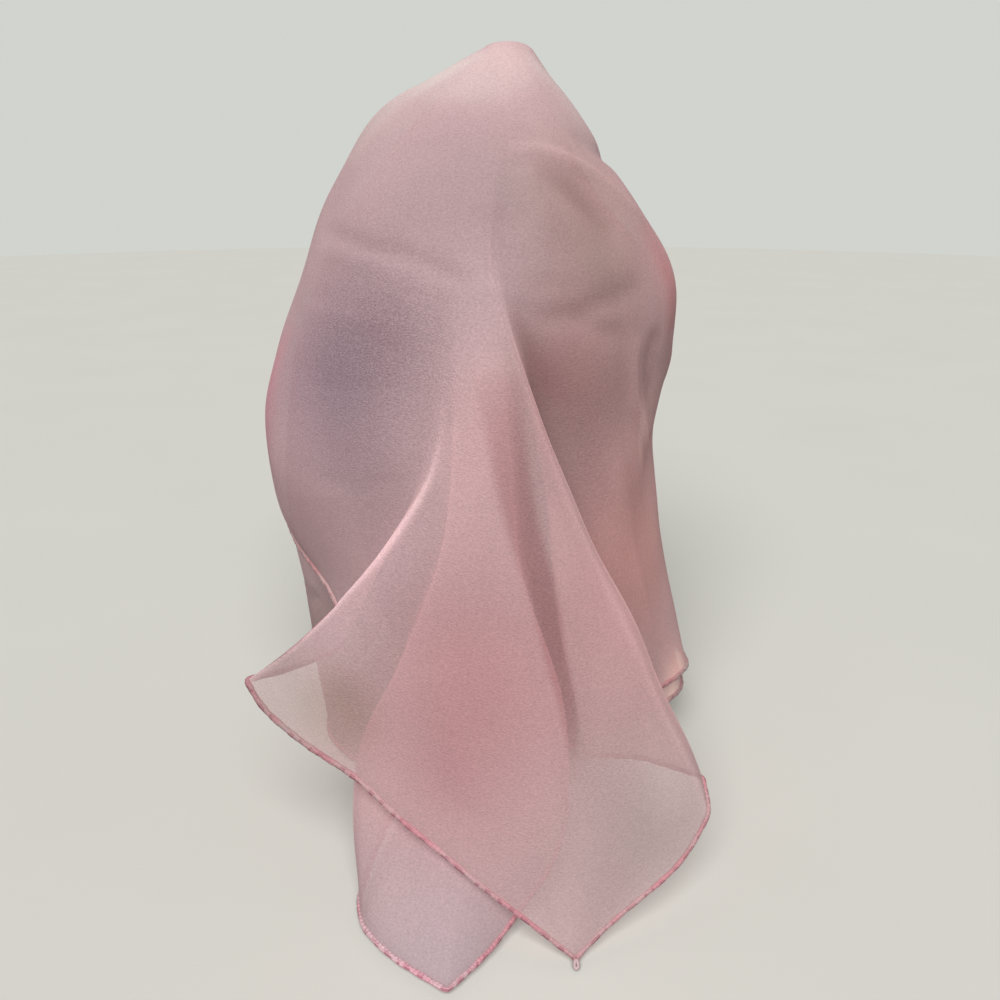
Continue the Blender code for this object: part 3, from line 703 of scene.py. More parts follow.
def nearness(grid, line, widths, edge):
    """How near each grid point is to a given line, from 1 on it to 0 away from it: e to the power
    of minus the distance over the width, raised to the edge, times a power of the sine that fades it
    out towards both ends. The width goes evenly from the first to the second along the line."""
    line = line_on(grid, line)
    points = grid.reshape(-1, 3)
    amount = np.zeros(len(points))
    reach = 3*max(widths)
    near = np.flatnonzero(np.all((points > line.min(axis=0) - reach)
                                 & (points < line.max(axis=0) + reach), axis=1))
    nearest = np.full(len(near), 1e9)
    along = np.zeros(len(near))
    for i, (start, way) in enumerate(zip(line[:-1], np.diff(line, axis=0))):
        t = np.clip((points[near] - start)@way/max(way@way, 1e-9), 0, 1)
        gap = np.linalg.norm(points[near] - start - t[:, None]*way, axis=1)
        closer = gap < nearest
        nearest[closer] = gap[closer]
        along[closer] = (i + t[closer])/(len(line) - 1)
    along = np.clip(along, 0, 1)
    width = widths[0] + (widths[1] - widths[0])*along
    amount[near] = np.exp(-(nearest/width)**edge)*np.sin(np.pi*along)**LINE_FADE
    return amount.reshape(grid.shape[:-1])


def crease_relief(grid, crease):
    """A crease's height over each grid point: its height times the nearness to its line."""
    return crease.height*nearness(grid, crease.line, (crease.width, crease.width), 2.0)


def waver(grid):
    """A slow waver of the cloth: the sum of sines of the place along slanted directions, setting in
    below the peak."""
    total = sum(np.sin(grid@np.array(wave[:3]) + wave[3]) for wave in WAVES)
    return WAVER*total*np.clip(np.arange(grid.shape[1])/CALM_ROWS, 0, 1)[None, :]


def creased(grid, creases):
    """A layer's grid with its waver and its creases worked in along its normals, and its shade: a
    little darker in the narrow troughs and lighter on the narrow ridges."""
    reliefs = [crease_relief(grid, crease) for crease in creases]
    narrow = sum(part for part, crease in zip(reliefs, creases) if crease.width < CREASE_BROAD)
    relief = sum(reliefs)
    shade = 1 + CREASE_SHADE*np.tanh(narrow/CREASE_FULL)
    return grid + normals_of(grid)*(relief + waver(grid))[:, :, None], shade


def drift(points, clouds):
    """The painted light and shade over points: every cloud's tint, multiplied together, each faded by e to
    the power of minus the distance from its middle over its reach, raised to its edge."""
    tint = np.ones((len(points), 3))
    for cloud in clouds:
        gap = np.linalg.norm(points - np.array(cloud.middle, float), axis=1, keepdims=True)
        tint *= 1 + (np.array(cloud.tint) - 1)*np.exp(-(gap/cloud.reach)**cloud.edge)
    return tint


def streaked(grid, streaks):
    """The painted light and shade of a whole grid from a layer's streaks: every one's tint, faded by the
    nearness to its line, multiplied together."""
    tint = np.ones(grid.shape)
    for streak in streaks:
        amount = nearness(grid, streak.line, streak.widths, streak.edge)
        tint *= 1 + (np.array(streak.tint) - 1)*amount[:, :, None]
    return tint


def hung(layer):
    """A layer's creased grid, its shade and its density. The shade is its streaks times the light of
    its creases, its sharp folds and its tones."""
    grid = with_cap(drape(layer), layer.peak_z)
    light, density = [first*second for first, second in zip(pressed(grid, layer), toned(grid, layer))]
    grid, shade = creased(grid, layer.creases)
    return grid, streaked(grid, layer.streaks)*(shade*light)[:, :, None], density


def column_of(folds, name):
    """The grid column on which a named fold line lies."""
    return [fold.name for fold in folds].index(name)*COLUMNS_PER_FOLD


# ---- meshes ----

def linked(name, data):
    """An object of the scene for a mesh, a light or a camera."""
    made = bpy.data.objects.new(name, data)
    bpy.context.scene.collection.objects.link(made)
    return made


def mesh_piece(name, points, faces, uv=None):
    """A smooth-shaded piece from points and faces, with a UV pair for each point."""
    mesh = bpy.data.meshes.new(name)
    mesh.from_pydata(points, [], faces)
    if uv is not None:
        corner = np.empty(len(mesh.loops), dtype=np.int32)
        mesh.loops.foreach_get("vertex_index", corner)
        mesh.uv_layers.new(name="threads").data.foreach_set("uv", uv[corner].astype(np.float32).ravel())
    mesh.shade_smooth()
    return linked(name, mesh)


def quads(columns, rows, closed, start=0):
    """Quads over a grid of points stored column by column, closing on itself where asked."""
    c, r = np.meshgrid(np.arange(columns if closed else columns - 1), np.arange(rows - 1), indexing="ij")
    d = (c + 1) % columns
    corners = (c*rows + r, c*rows + r + 1, d*rows + r + 1, d*rows + r)
    return [tuple(face) for face in (np.stack(corners, axis=-1).reshape(-1, 4) + start).tolist()]


def threads_uv(grid, middle, seam):
    """UV in metres along the cloth's threads, turned by an eighth of a turn, because the square hangs
    by its bias: the length down each column, and the length round each level from the middle column,
    counted from the seam column on. Also gives back each level's whole length."""
    down = np.cumsum(np.linalg.norm(np.diff(grid, axis=1, prepend=grid[:, :1]), axis=2), axis=1)
    from_seam = np.roll(grid, -seam, axis=0)
    steps = np.linalg.norm(np.roll(from_seam, -1, axis=0) - from_seam, axis=2)
    around = np.roll(np.cumsum(steps, axis=0) - steps, seam, axis=0)
    around = around - around[middle]
    return np.stack([around - down, around + down], axis=-1)*MM/math.sqrt(2), steps.sum(axis=0)


def close_uv(piece, columns, rows, seam, level_lengths):
    """Let the threads run on over the seam: in the faces before the seam column, its points count
    their level's whole length more."""
    layer = piece.data.uv_layers["threads"]
    pairs = np.empty(2*len(piece.data.loops), dtype=np.float32)
    layer.data.foreach_get("uv", pairs)
    corner = np.empty(len(piece.data.loops), dtype=np.int32)
    piece.data.loops.foreach_get("vertex_index", corner)
    pairs = pairs.reshape(-1, 2)
    before = (seam - 1) % columns
    faces = slice(4*before*(rows - 1), 4*(before + 1)*(rows - 1))
    at_seam = corner[faces]//rows == seam
    shift = level_lengths[corner[faces] % rows]*MM/math.sqrt(2)
    pairs[faces] += (shift*at_seam)[:, None]
    layer.data.foreach_set("uv", pairs.ravel())


def folded_edge(outer_edge, inner_edge):
    """The turn of cloth that joins the layers below their back edges: half an ellipse from the outer
    edge to the inner one, flattening out towards both of its ends."""
    share = np.linspace(0, 1, len(outer_edge))[:, None, None]
    angle = (np.pi*np.arange(1, FOLD_ROWS + 1)/FOLD_ROWS)[None, :, None]
    middle = ((outer_edge + inner_edge)/2)[:, None]
    half = ((outer_edge - inner_edge)/2)[:, None]
    depth = FOLD_DEPTH*(1 - (2*share - 1)**8)
    return middle + half*np.cos(angle) - np.array([0, 0, 1.0])*depth*np.sin(angle)


def set_tint(piece, tint, density):
    """Store a piece's tint of painted light and shade, with its density as the alpha, as a colour attribute.
    """
    colours = piece.data.color_attributes.new("tint", "FLOAT_COLOR", "POINT")
    colours.data.foreach_set("color", np.column_stack([tint, density]).astype(np.float32).ravel())


def set_roughness(piece, points):
    """Store how rough the crepe is as an attribute: 1, and more in a bell curve of the distance from
    the rough patch."""
    gap = np.linalg.norm(points - np.array(ROUGH_PATCH, float), axis=1)
    rough = piece.data.attributes.new("crepe", "FLOAT", "POINT")
    rough.data.foreach_set("value", (1 + ROUGH_GAIN*np.exp(-(gap/ROUGH_REACH)**2)).astype(np.float32))


def layer_piece(layer, grid, shade, density, back, inner_edge=None):
    """One layer's sheet: its closed grid, a fan over the peak and, where the inner edge is given,
    the folded edge joined on below the columns of the back. Its tint is its painted shade times the painted
    light and shade of its clouds."""
    columns, rows = grid.shape[:2]
    seam = int(back[len(back)//2])
    uv, level_lengths = threads_uv(grid, column_of(layer.folds, "corner"), seam)
    points = [grid.reshape(-1, 3), np.array([[PEAK_X, 0.0, layer.peak_z]])]
    uvs = [uv.reshape(-1, 2), uv[:, 0].mean(axis=0, keepdims=True)]
    faces = quads(columns, rows, True)
    faces += [(columns*rows, c*rows, (c + 1) % columns*rows) for c in range(columns)]
    if inner_edge is not None:
        strip = np.concatenate([grid[back, -1:], folded_edge(grid[back, -1], inner_edge)], axis=1)
        drop = np.cumsum(np.linalg.norm(np.diff(strip, axis=1, prepend=strip[:, :1]), axis=2), axis=1)
        faces += quads(len(back), FOLD_ROWS + 1, False, columns*rows + 1)
        points.append(strip.reshape(-1, 3))
        uvs.append((uv[back, -1:] + drop[:, :, None]*np.array([-MM, MM])/math.sqrt(2)).reshape(-1, 2))
    points = np.concatenate(points)
    tint = drift(points, layer.clouds)
    tint[:density.size] *= shade.reshape(-1, 3)
    thick = np.ones(len(points))
    thick[:density.size] = density.ravel()
    piece = mesh_piece(layer.name + "_layer", points*MM, faces, np.concatenate(uvs))
    close_uv(piece, columns, rows, seam, level_lengths)
    set_tint(piece, tint, thick)
    set_roughness(piece, points)
    return piece


def hem_line(grid, start, end):
    """Points along a layer's lower edge at even steps, rounded by a running mean of three, and the
    cloth's normals there."""
    columns = np.arange(start, end + 1) % grid.shape[0]
    edge = grid[columns, -1]
    down = unit(edge - grid[columns, -2])
    edge = edge + down*HEM_OVERLAP
    normal = normals_of(grid)[columns, -1]
    length = np.concatenate([[0.0], np.cumsum(np.linalg.norm(np.diff(edge, axis=0), axis=1))])
    along = np.linspace(0, length[-1], int(length[-1]/HEM_STEP))
    even = np.stack([np.interp(along, length, edge[:, k]) for k in range(3)], axis=1)
    even[1:-1] = (even[:-2] + even[1:-1] + even[2:])/3
    even[:, 2] = np.maximum(even[:, 2], HEM_RADIUS*(1 + TWIST_DEPTH))
    normal = np.stack([np.interp(along, length, normal[:, k]) for k in range(3)], axis=1)
    return even, unit(normal), along


def tube(name, line, out, radius, along):
    """A tube closed at both ends round a line, from its radius at each place along and round it; the
    first side faces out. Its UV is the length along and the share of a turn round."""
    run = unit(np.gradient(line, axis=0))
    out = unit(out - run*np.sum(out*run, axis=1, keepdims=True))
    side = np.cross(run, out)
    count, sides = radius.shape
    angle = 2*np.pi*np.arange(sides)/sides
    ring = (out[:, None]*(np.cos(angle)*radius)[:, :, None]
            + side[:, None]*(np.sin(angle)*radius)[:, :, None])
    points = (line[:, None] + ring).reshape(-1, 3)
    uv = np.stack(np.broadcast_arrays(along[:, None]*MM, angle/(2*np.pi)), axis=-1).reshape(-1, 2)
    grid = np.arange(count*sides).reshape(count, sides)
    after = np.roll(grid, -1, axis=1)
    faces = np.stack([grid[:-1], after[:-1], after[1:], grid[1:]], axis=-1).reshape(-1, 4).tolist()
    faces.append(grid[0, ::-1].tolist())
    faces.append(grid[-1].tolist())
    piece = mesh_piece(name, points*MM, faces, uv)
    # the hem clouds' painted light and shade, stored as the tint
    set_tint(piece, drift(points, HEM_CLOUDS), np.ones(len(points)))
    return piece


def hem_piece(name, line, normal, along):
    """The rolled hem: a tube of two lobes that turn round its line like a rope, thinner towards the
    place where it is rolled tightest."""
    angle = (2*np.pi*np.arange(HEM_SIDES)/HEM_SIDES)[None, :]
    along = along[:, None]
    turn = 2*np.pi*along/TWIST_PITCH + TWIST_WANDER*np.sin(along/TWIST_WANDER_LENGTH)
    lobes = 1 + TWIST_DEPTH*np.cos(2*angle - turn) + HEM_KNOBS*np.sin(along*HEM_KNOBS_TURN + 3*angle)
    tightest = along[-1]*HEM_TIGHTEST
    thin = 1 - (1 - HEM_THIN)*np.exp(-((along - tightest)/HEM_TIGHT_REACH)**2)
    end = np.minimum(along, along[-1] - along)
    radius = HEM_RADIUS*lobes*thin*np.sqrt(np.clip(end/HEM_TAPER, HEM_TIP, 1))
    return tube(name, line, normal, radius, along[:, 0])


def thread_tail(tip):
    """The loop of sewing thread left at the outer corner: as wide as the sine of its turn, and as far
    out of the tip, forward and down, as the cosine of half its turn."""
    turn = np.linspace(-TAIL_TURN*np.pi, TAIL_TURN*np.pi, TAIL_STEPS)
    out = TAIL_LENGTH*np.cos(turn/2)
    line = tip + np.stack([TAIL_WIDTH*np.sin(turn), -out*TAIL_AHEAD, -out*TAIL_DOWN], axis=1)
    line[:, 2] = np.maximum(line[:, 2], TAIL_RADIUS)
    along = np.linspace(0, 2*TAIL_LENGTH, TAIL_STEPS)
    up = np.broadcast_to([0.0, -0.4, 1.0], line.shape)
    return tube("corner_thread", line, up, np.full((TAIL_STEPS, TAIL_SIDES), TAIL_RADIUS), along)


def turned_piece(name, profile, depth=1.0, centre=(0.0, 0.0)):
    """A profile of (radius, height) points, bottom to top, turned round the upright line through a
    centre, with its depth from front to back scaled."""
    profile = np.array(profile, float)
    angle = 2*np.pi*np.arange(TURN_STEPS)/TURN_STEPS
    radius = profile[None, 1:-1, 0]
    x = centre[0] + np.cos(angle)[:, None]*radius
    y = centre[1] + np.sin(angle)[:, None]*radius*depth
    z = np.broadcast_to(profile[None, 1:-1, 1], x.shape)
    rows = len(profile) - 2
    points = np.concatenate([np.stack([x, y, z], axis=-1).reshape(-1, 3),
                             [(*centre, profile[0, 1]), (*centre, profile[-1, 1])]])
    faces = [(d, c, b, a) for a, b, c, d in quads(TURN_STEPS, rows, True)]
    bottom = TURN_STEPS*rows
    faces += [(bottom, (c + 1) % TURN_STEPS*rows, c*rows) for c in range(TURN_STEPS)]
    faces += [(bottom + 1, c*rows + rows - 1, (c + 1) % TURN_STEPS*rows + rows - 1)
              for c in range(TURN_STEPS)]
    return mesh_piece(name, points*MM, faces)


def head_profile():
    """The block, bottom to top: a long ellipse up to the widest level, then a dome whose radius is
    the half width times a power of the sine."""
    bottom = BASE_HEIGHT + FORM_GAP
    dome = HEAD_TOP_Z - HEAD_WIDEST_Z
    foot = math.pi - math.acos((HEAD_WIDEST_Z - bottom)/HEAD_BELOW)
    profile = [(0.0, bottom)]
    for angle in np.linspace(foot, math.pi/2, HEAD_RINGS):
        profile.append((HEAD_HALF_WIDTH*math.sin(angle), HEAD_WIDEST_Z + HEAD_BELOW*math.cos(angle)))
    for angle in np.linspace(math.pi/2, 0, HEAD_RINGS)[1:]:
        profile.append((HEAD_HALF_WIDTH*math.sin(angle)**HEAD_TAPER, HEAD_WIDEST_Z + dome*math.cos(angle)))
    return profile


def peg_profile():
    """The peg on top, bottom to top: straight, with a tip rounded by a quarter ellipse."""
    profile = [(0.0, PEG_FOOT_Z), (PEG_RADIUS, PEG_FOOT_Z)]
    for turn in np.linspace(0, math.pi/2, 7):
        profile.append((PEG_RADIUS*math.cos(turn), PEG_TOP_Z - PEG_TIP + PEG_TIP*math.sin(turn)))
    return profile


def base_profile():
    """The round base, bottom to top, with its lower edge bevelled and its upper one rounded by a
    quarter circle."""
    middle = BASE_RADIUS - BASE_ROUND, BASE_HEIGHT - BASE_ROUND
    round_edge = [(middle[0] + BASE_ROUND*math.cos(turn), middle[1] + BASE_ROUND*math.sin(turn))
                  for turn in np.linspace(0, math.pi/2, 7)]
    foot = [(0.0, 0.0), (BASE_RADIUS - BASE_FOOT_ROUND, 0.0), (BASE_RADIUS, BASE_FOOT_ROUND)]
    return foot + round_edge + [(0.0, BASE_HEIGHT)]


# ---- finishes ----

def put(tree, socket, value):
    """Link an output to a socket, or put a number, a place or a colour on it."""
    if isinstance(value, bpy.types.NodeSocket):
        tree.links.new(value, socket)
    elif socket.type == "RGBA":
        socket.default_value = (*value, 1.0)
    else:
        socket.default_value = value


def node(tree, kind, inputs, output=0, **settings):
    """A shader node with its settings and with its inputs put in. Gives back the output asked for."""
    made = tree.nodes.new("ShaderNode" + kind)
    for label, value in settings.items():
        setattr(made, label, value)
    for label, value in inputs.items():
        put(tree, made.inputs[label], value)
    return made.outputs[output]


def math_node(tree, operation, *values):
    """A Math node over numbers or outputs."""
    return node(tree, "Math", dict(enumerate(values)), operation=operation)


def noise_node(tree, vector, scale, detail, roughness):
    """A Noise node's factor over a vector."""
    inputs = {"Vector": vector, "Scale": scale, "Detail": detail, "Roughness": roughness}
    return node(tree, "TexNoise", inputs, "Fac")


def place_vector(tree, stretch):
    """Object coordinates, stretched level by making their height count for more."""
    place = node(tree, "TexCoord", {}, "Object")
    return node(tree, "Mapping", {"Vector": place, "Scale": (1.0, 1.0, stretch)}, "Vector")


def uv_parts(tree):
    """The two parts of a piece's UV."""
    first = node(tree, "SeparateXYZ", {"Vector": node(tree, "UVMap", {}, "UV", uv_map="threads")}, "X")
    return first, first.node.outputs["Y"]


def shaded(tree, colour, shade):
    """A colour multiplied by a shade or tint."""
    inputs = {"Factor": 1.0, "A": colour, "B": shade}
    return node(tree, "Mix", inputs, "Result", data_type="RGBA", blend_type="MULTIPLY")


def two_colours(tree, first, second, share):
    """A colour part of the way from the first to the second."""
    return node(tree, "Mix", {"Factor": share, "A": first, "B": second}, "Result", data_type="RGBA")


def soft_step(tree, value, start, end):
    """0 below the start, 1 above the end and smooth in between."""
    inputs = {"Value": value, "From Min": start, "From Max": end}
    return node(tree, "MapRange", inputs, "Result", interpolation_type="SMOOTHSTEP")


def wave_along(tree, length, pitch, phase):
    """The sine of the length over a pitch in millimetres, counted in turns, plus a phase."""
    return math_node(tree, "SINE", math_node(tree, "MULTIPLY_ADD", length, 2*math.pi/(pitch*MM), phase))


def swing(tree, noise, amount):
    """How far a noise is from its middle of one half, times an amount."""
    return math_node(tree, "MULTIPLY", math_node(tree, "SUBTRACT", noise, 0.5), amount)


def bump(tree, height, distance, strength):
    """The normal of a Bump node over a height."""
    return node(tree, "Bump", {"Height": height, "Distance": distance, "Strength": strength}, "Normal")


def group(name, inputs, outputs):
    """A shader node group with named number inputs and outputs: its tree and both sets of sockets."""
    tree = bpy.data.node_groups.new(name, "ShaderNodeTree")
    for label, value in inputs:
        tree.interface.new_socket(label, in_out="INPUT", socket_type="NodeSocketFloat").default_value = value
    for label in outputs:
        tree.interface.new_socket(label, in_out="OUTPUT", socket_type="NodeSocketFloat")
    return tree, tree.nodes.new("NodeGroupInput").outputs, tree.nodes.new("NodeGroupOutput").inputs


def crepe_group():
    """The grain of crepe-twisted yarn: fine noise that is longer level than upright, plus a coarser
    cloudiness. Height is for bump, Shade multiplies a colour."""
    inputs = (("Grains per Metre", 800.0), ("Contrast", 0.12), ("Cloudiness", 0.05))
    tree, entry, leave = group("crepe_grain", inputs, ("Height", "Shade"))
    grain = noise_node(tree, place_vector(tree, CREPE_STRETCH), entry["Grains per Metre"], 3.0, 0.65)
    cloud = noise_node(tree, place_vector(tree, CLOUDINESS_STRETCH), CLOUDINESS_SCALE, 2.0, 0.5)
    parts = swing(tree, grain, entry["Contrast"]), swing(tree, cloud, entry["Cloudiness"])
    put(tree, leave["Height"], grain)
    put(tree, leave["Shade"], math_node(tree, "MULTIPLY_ADD", math_node(tree, "ADD", *parts), 2.0, 1.0))
    return tree


def weave_group():
    """Plain weave: the larger of two sets of rounded threads, one along each UV direction."""
    tree, entry, leave = group("plain_weave", (("Threads per Metre", 2600.0),), ("Height",))
    turns = math_node(tree, "MULTIPLY", entry["Threads per Metre"], 2*math.pi)
    threads = [math_node(tree, "SINE", math_node(tree, "MULTIPLY", part, turns)) for part in uv_parts(tree)]
    put(tree, leave["Height"], math_node(tree, "MAXIMUM", *threads))
    return tree


def use_group(tree, shared, **values):
    """A group's outputs in a material with its own values; a value's name has _ for a space."""
    made = tree.nodes.new("ShaderNodeGroup")
    made.node_tree = shared
    for label, value in values.items():
        put(tree, made.inputs[label.replace("_", " ")], value)
    return made.outputs


def new_material(name):
    """An empty node material: itself, its tree and the socket for its surface."""
    made = bpy.data.materials.new(name)
    made.use_nodes = True
    tree = made.node_tree
    tree.nodes.clear()
    return made, tree, tree.nodes.new("ShaderNodeOutputMaterial").inputs["Surface"]


def chiffon_material(crepe, weave):
    """Sheer crepe chiffon: part clear and part cloth, the cloth part thicker the more it is seen
    edge on. The cloth both scatters light and lets it glow through."""
    made, tree, surface = new_material("rose_chiffon")
    rough = node(tree, "Attribute", {}, "Fac", attribute_name="crepe")
    grain = use_group(tree, crepe, Grains_per_Metre=CREPE_GRAINS, Cloudiness=0.05,
                      Contrast=math_node(tree, "MULTIPLY", rough, CREPE_CONTRAST))
    height = math_node(tree, "MULTIPLY_ADD", use_group(tree, weave)["Height"], WEAVE_BUMP, grain["Height"])
    normal = bump(tree, math_node(tree, "MULTIPLY", height, rough), CREPE_BUMP_HEIGHT, CREPE_BUMP)
    # the tint attribute holds the painted light and shade of the clouds, streaks, creases, sharp folds and
    # tones; its alpha is the density
    tint = node(tree, "Attribute", {}, "Color", attribute_name="tint")
    density = tint.node.outputs["Alpha"]
    tint = shaded(tree, tint, grain["Shade"])
    cloth = node(tree, "BsdfPrincipled", {
        "Base Color": shaded(tree, CHIFFON_COLOUR, tint), "Roughness": 0.78, "Specular IOR Level": 0.25,
        "Sheen Weight": SHEEN, "Sheen Roughness": 0.45, "Sheen Tint": SHEEN_TINT, "Normal": normal})
    glow = node(tree, "BsdfTranslucent", {"Color": shaded(tree, CHIFFON_GLOW, tint), "Normal": normal})
    yarn = node(tree, "MixShader", {"Fac": CHIFFON_GLOW_SHARE, 1: cloth, 2: glow})
    clear = node(tree, "BsdfTransparent", {"Color": CHIFFON_CLEAR})
    slant = math_node(tree, "POWER", node(tree, "LayerWeight", {"Blend": 0.5}, "Facing"), SLANT_POWER)
    cover = math_node(tree, "MULTIPLY_ADD", slant, CHIFFON_COVER_SLANTED - CHIFFON_COVER, CHIFFON_COVER)
    yarns = math_node(tree, "MULTIPLY_ADD", grain["Height"], *YARN_UNEVENNESS)
    cover = math_node(tree, "MULTIPLY", math_node(tree, "MULTIPLY", cover, yarns), density)
    cover = math_node(tree, "MINIMUM", cover, 1.0)
    put(tree, surface, node(tree, "MixShader", {"Fac": cover, 1: clear, 2: yarn}))
    return made


def hem_material(crepe):
    """Rolled and overcast edge: patches of soft and of strong pink, with painted shade that makes it paler
    on top and dusky below, with dark dashes of thread along its middle and fine stitches slanting round it."""
    made, tree, surface = new_material("rolled_rose_hem")
    grain = use_group(tree, crepe, Grains_per_Metre=1500.0, Contrast=0.25, Cloudiness=0.2)
    length, turn = uv_parts(tree)
    turn = math_node(tree, "MULTIPLY", turn, 2*math.pi)
    place = place_vector(tree, 1.0)
    patches = noise_node(tree, place, 70.0, 2.0, 0.5)
    mottle = noise_node(tree, place, 260.0, 2.0, 0.6)
    stitch = wave_along(tree, length, STITCH_PITCH, turn)
    dash = wave_along(tree, length, DASH_PITCH, math_node(tree, "MULTIPLY", patches, DASH_WANDER))
    middle = soft_step(tree, math_node(tree, "COSINE", turn), 0.55, 0.95)
    # painted shade: the lower side of the roll is made darker
    below = soft_step(tree, math_node(tree, "SINE", turn), -0.2, 0.9)
    dark = math_node(tree, "MULTIPLY", soft_step(tree, dash, 0.0, 0.7), middle)
    dark = math_node(tree, "MULTIPLY_ADD", below, 0.35, dark)
    dark = math_node(tree, "MULTIPLY_ADD", mottle, 0.8, math_node(tree, "SUBTRACT", dark, 0.42))
    pink = two_colours(tree, HEM_SOFT, HEM_STRONG, soft_step(tree, patches, 0.40, 0.62))
    colour = two_colours(tree, pink, HEM_DEEP, soft_step(tree, dark, 0.0, 0.9))
    # the tint attribute holds the hem clouds' painted light and shade
    tint = shaded(tree, node(tree, "Attribute", {}, "Color", attribute_name="tint"), grain["Shade"])
    height = math_node(tree, "ADD", stitch, mottle)
    thread = {"Base Color": shaded(tree, colour, tint), "Roughness": 0.75, "Sheen Weight": 0.2,
              "Normal": bump(tree, height, 0.0002, 0.45)}
    put(tree, surface, node(tree, "BsdfPrincipled", thread))
    return made


def tail_material(crepe):
    """Pale grey-pink sewing thread."""
    made, tree, surface = new_material("pale_thread")
    grain = use_group(tree, crepe, Grains_per_Metre=2000.0, Contrast=0.3, Cloudiness=0.1)
    thread = {"Base Color": shaded(tree, TAIL_COLOUR, grain["Shade"]), "Roughness": 0.8}
    put(tree, surface, node(tree, "BsdfPrincipled", thread))
    return made


def form_material(name, colour, roughness, crepe):
    """Matt paint: a fine orange-peel of the grain and a faint cloudiness."""
    made, tree, surface = new_material(name)
    grain = use_group(tree, crepe, Grains_per_Metre=420.0, Contrast=0.12, Cloudiness=0.12)
    paint = {"Base Color": shaded(tree, colour, grain["Shade"]), "Roughness": roughness,
             "Normal": bump(tree, grain["Height"], 0.0004, 0.4)}
    put(tree, surface, node(tree, "BsdfPrincipled", paint))
    return made


def floor_material():
    """Plain pale tabletop with the faintest unevenness."""
    made, tree, surface = new_material("pale_floor")
    cloud = noise_node(tree, place_vector(tree, 1.0), 7.0, 2.0, 0.5)
    shade = math_node(tree, "MULTIPLY_ADD", cloud, 0.05, 0.975)
    top = {"Base Color": shaded(tree, FLOOR_COLOUR, shade), "Roughness": 0.85, "Specular IOR Level": 0.2}
    put(tree, surface, node(tree, "BsdfPrincipled", top))
    return made


# ---- the pieces and their place ----

def dress(piece, material, slot, *nodes):
    """Give a piece its material, let it ride on the part and stand for its solids. Its slot is not used."""
    piece.data.materials.append(material)
    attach(piece, "root")
    if nodes:
        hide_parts(*nodes)
    return piece


def add_scarf(crepe, weave):
    """Both layers, the two halves of one folded square, with their hems and the thread at the corner."""
    outer, outer_shade, outer_density = hung(OUTER)
    inner, inner_shade, inner_density = hung(INNER)
    first = column_of(OUTER_BODY, "back_trough_a")
    last = column_of(OUTER_BODY, "back_trough_c")
    back = np.arange(first, last + 1)
    chiffon = chiffon_material(crepe, weave)
    hem = hem_material(crepe)
    stretches = ("_crown", "_right", "_back", "_left", "_front_fold")
    outer_layer = layer_piece(OUTER, outer, outer_shade, outer_density, back, inner[back, -1])
    dress(outer_layer, chiffon, "chiffon", "folded_edge", *("outer" + s for s in stretches))
    inner_layer = layer_piece(INNER, inner, inner_shade, inner_density, back)
    dress(inner_layer, chiffon, "chiffon", *("inner" + s for s in stretches))
    for layer, grid, piece in ((OUTER, outer, outer_layer), (INNER, inner, inner_layer)):
        rolled = hem_piece(layer.name + "_rolled_hem", *hem_line(grid, last, grid.shape[0] + first))
        dress(rolled, hem, "rolled_hem", layer.name + "_hem")
    corner = outer[column_of(OUTER.folds, "corner"), -1]
    dress(thread_tail(corner), tail_material(crepe), "rolled_hem")


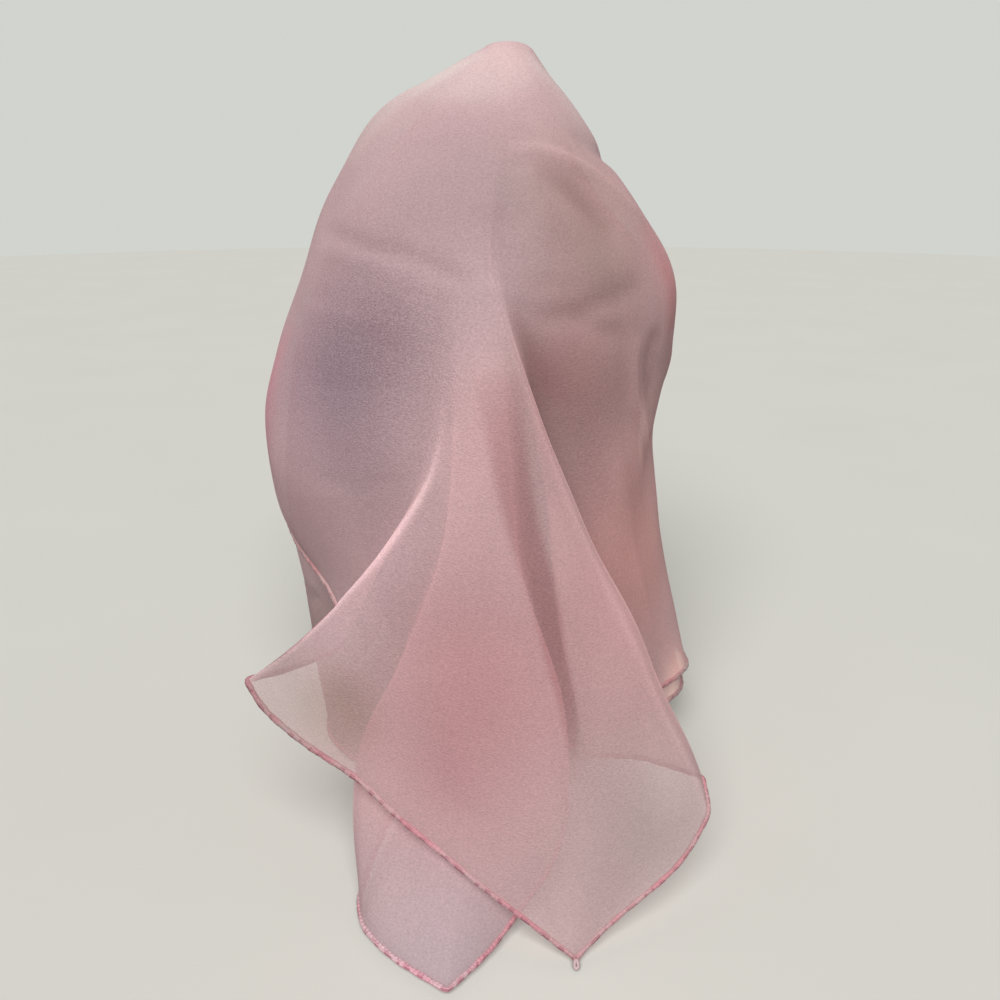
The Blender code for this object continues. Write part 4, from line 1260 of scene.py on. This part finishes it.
def add_form(crepe):
    """The display head form under the scarf: block with peg, and base."""
    foam = form_material("mauve_foam", HEAD_COLOUR, 0.8, crepe)
    head = turned_piece("head_block", head_profile(), HEAD_HALF_DEPTH/HEAD_HALF_WIDTH, (HEAD_X, HEAD_Y))
    dress(head, foam, "form_paint", "display_head")
    peg = turned_piece("head_peg", peg_profile(), 1.0, (PEAK_X, 0.0))
    dress(peg, form_material("pale_peg", PEG_COLOUR, 0.8, crepe), "form_paint")
    base = turned_piece("round_base", base_profile())
    dress(base, form_material("pale_base", BASE_COLOUR, 0.55, crepe), "form_paint", "display_base")


def add_studio():
    """Pale floor, soft light from in front and above, and an even sky, brighter to the camera than
    as light."""
    angle = 2*np.pi*np.arange(TURN_STEPS)/TURN_STEPS
    ring = np.stack([np.cos(angle), np.sin(angle), np.zeros(TURN_STEPS)], axis=1)*FLOOR_RADIUS*MM
    floor = mesh_piece("floor", ring, [tuple(range(TURN_STEPS))])
    floor.data.materials.append(floor_material())
    floor.visible_diffuse = False     # a small table throws little light back up
    world = bpy.data.worlds.new("even_sky")
    world.use_nodes = True
    tree = world.node_tree
    background = tree.nodes["Background"].inputs
    put(tree, background["Color"], WORLD_COLOUR)
    seen = node(tree, "LightPath", {}, "Is Camera Ray")
    strength = math_node(tree, "MULTIPLY_ADD", seen, WORLD_SHOWN - WORLD_STRENGTH, WORLD_STRENGTH)
    put(tree, background["Strength"], strength)
    bpy.context.scene.world = world
    light = bpy.data.lights.new("ceiling", "SUN")
    light.angle = math.radians(LIGHT_SPREAD)
    light.energy = LIGHT_STRENGTH
    light.color = LIGHT_COLOUR
    lamp = linked("ceiling", light)
    lamp.location = LIGHT_PLACE
    x, y, z = LIGHT_PLACE
    lamp.rotation_euler = (math.atan2(math.hypot(x, y), z), 0.0, math.atan2(x, -y))


def add_camera():
    """The camera in front of the scarf, a little below its top and looking down at it."""
    data = bpy.data.cameras.new("camera")
    data.lens = CAMERA_LENS
    data.sensor_width = SENSOR_WIDTH
    camera = linked("camera", data)
    camera.location = CAMERA_PLACE
    camera.rotation_euler = (math.radians(CAMERA_TILT), 0.0, 0.0)
    bpy.context.scene.camera = camera
    bpy.context.scene.view_settings.view_transform = "Standard"


def main():
    """The camera, the form, the scarf over it and the studio."""
    add_camera()
    crepe = crepe_group()
    weave = weave_group()
    add_form(crepe)
    add_scarf(crepe, weave)
    add_studio()


main()
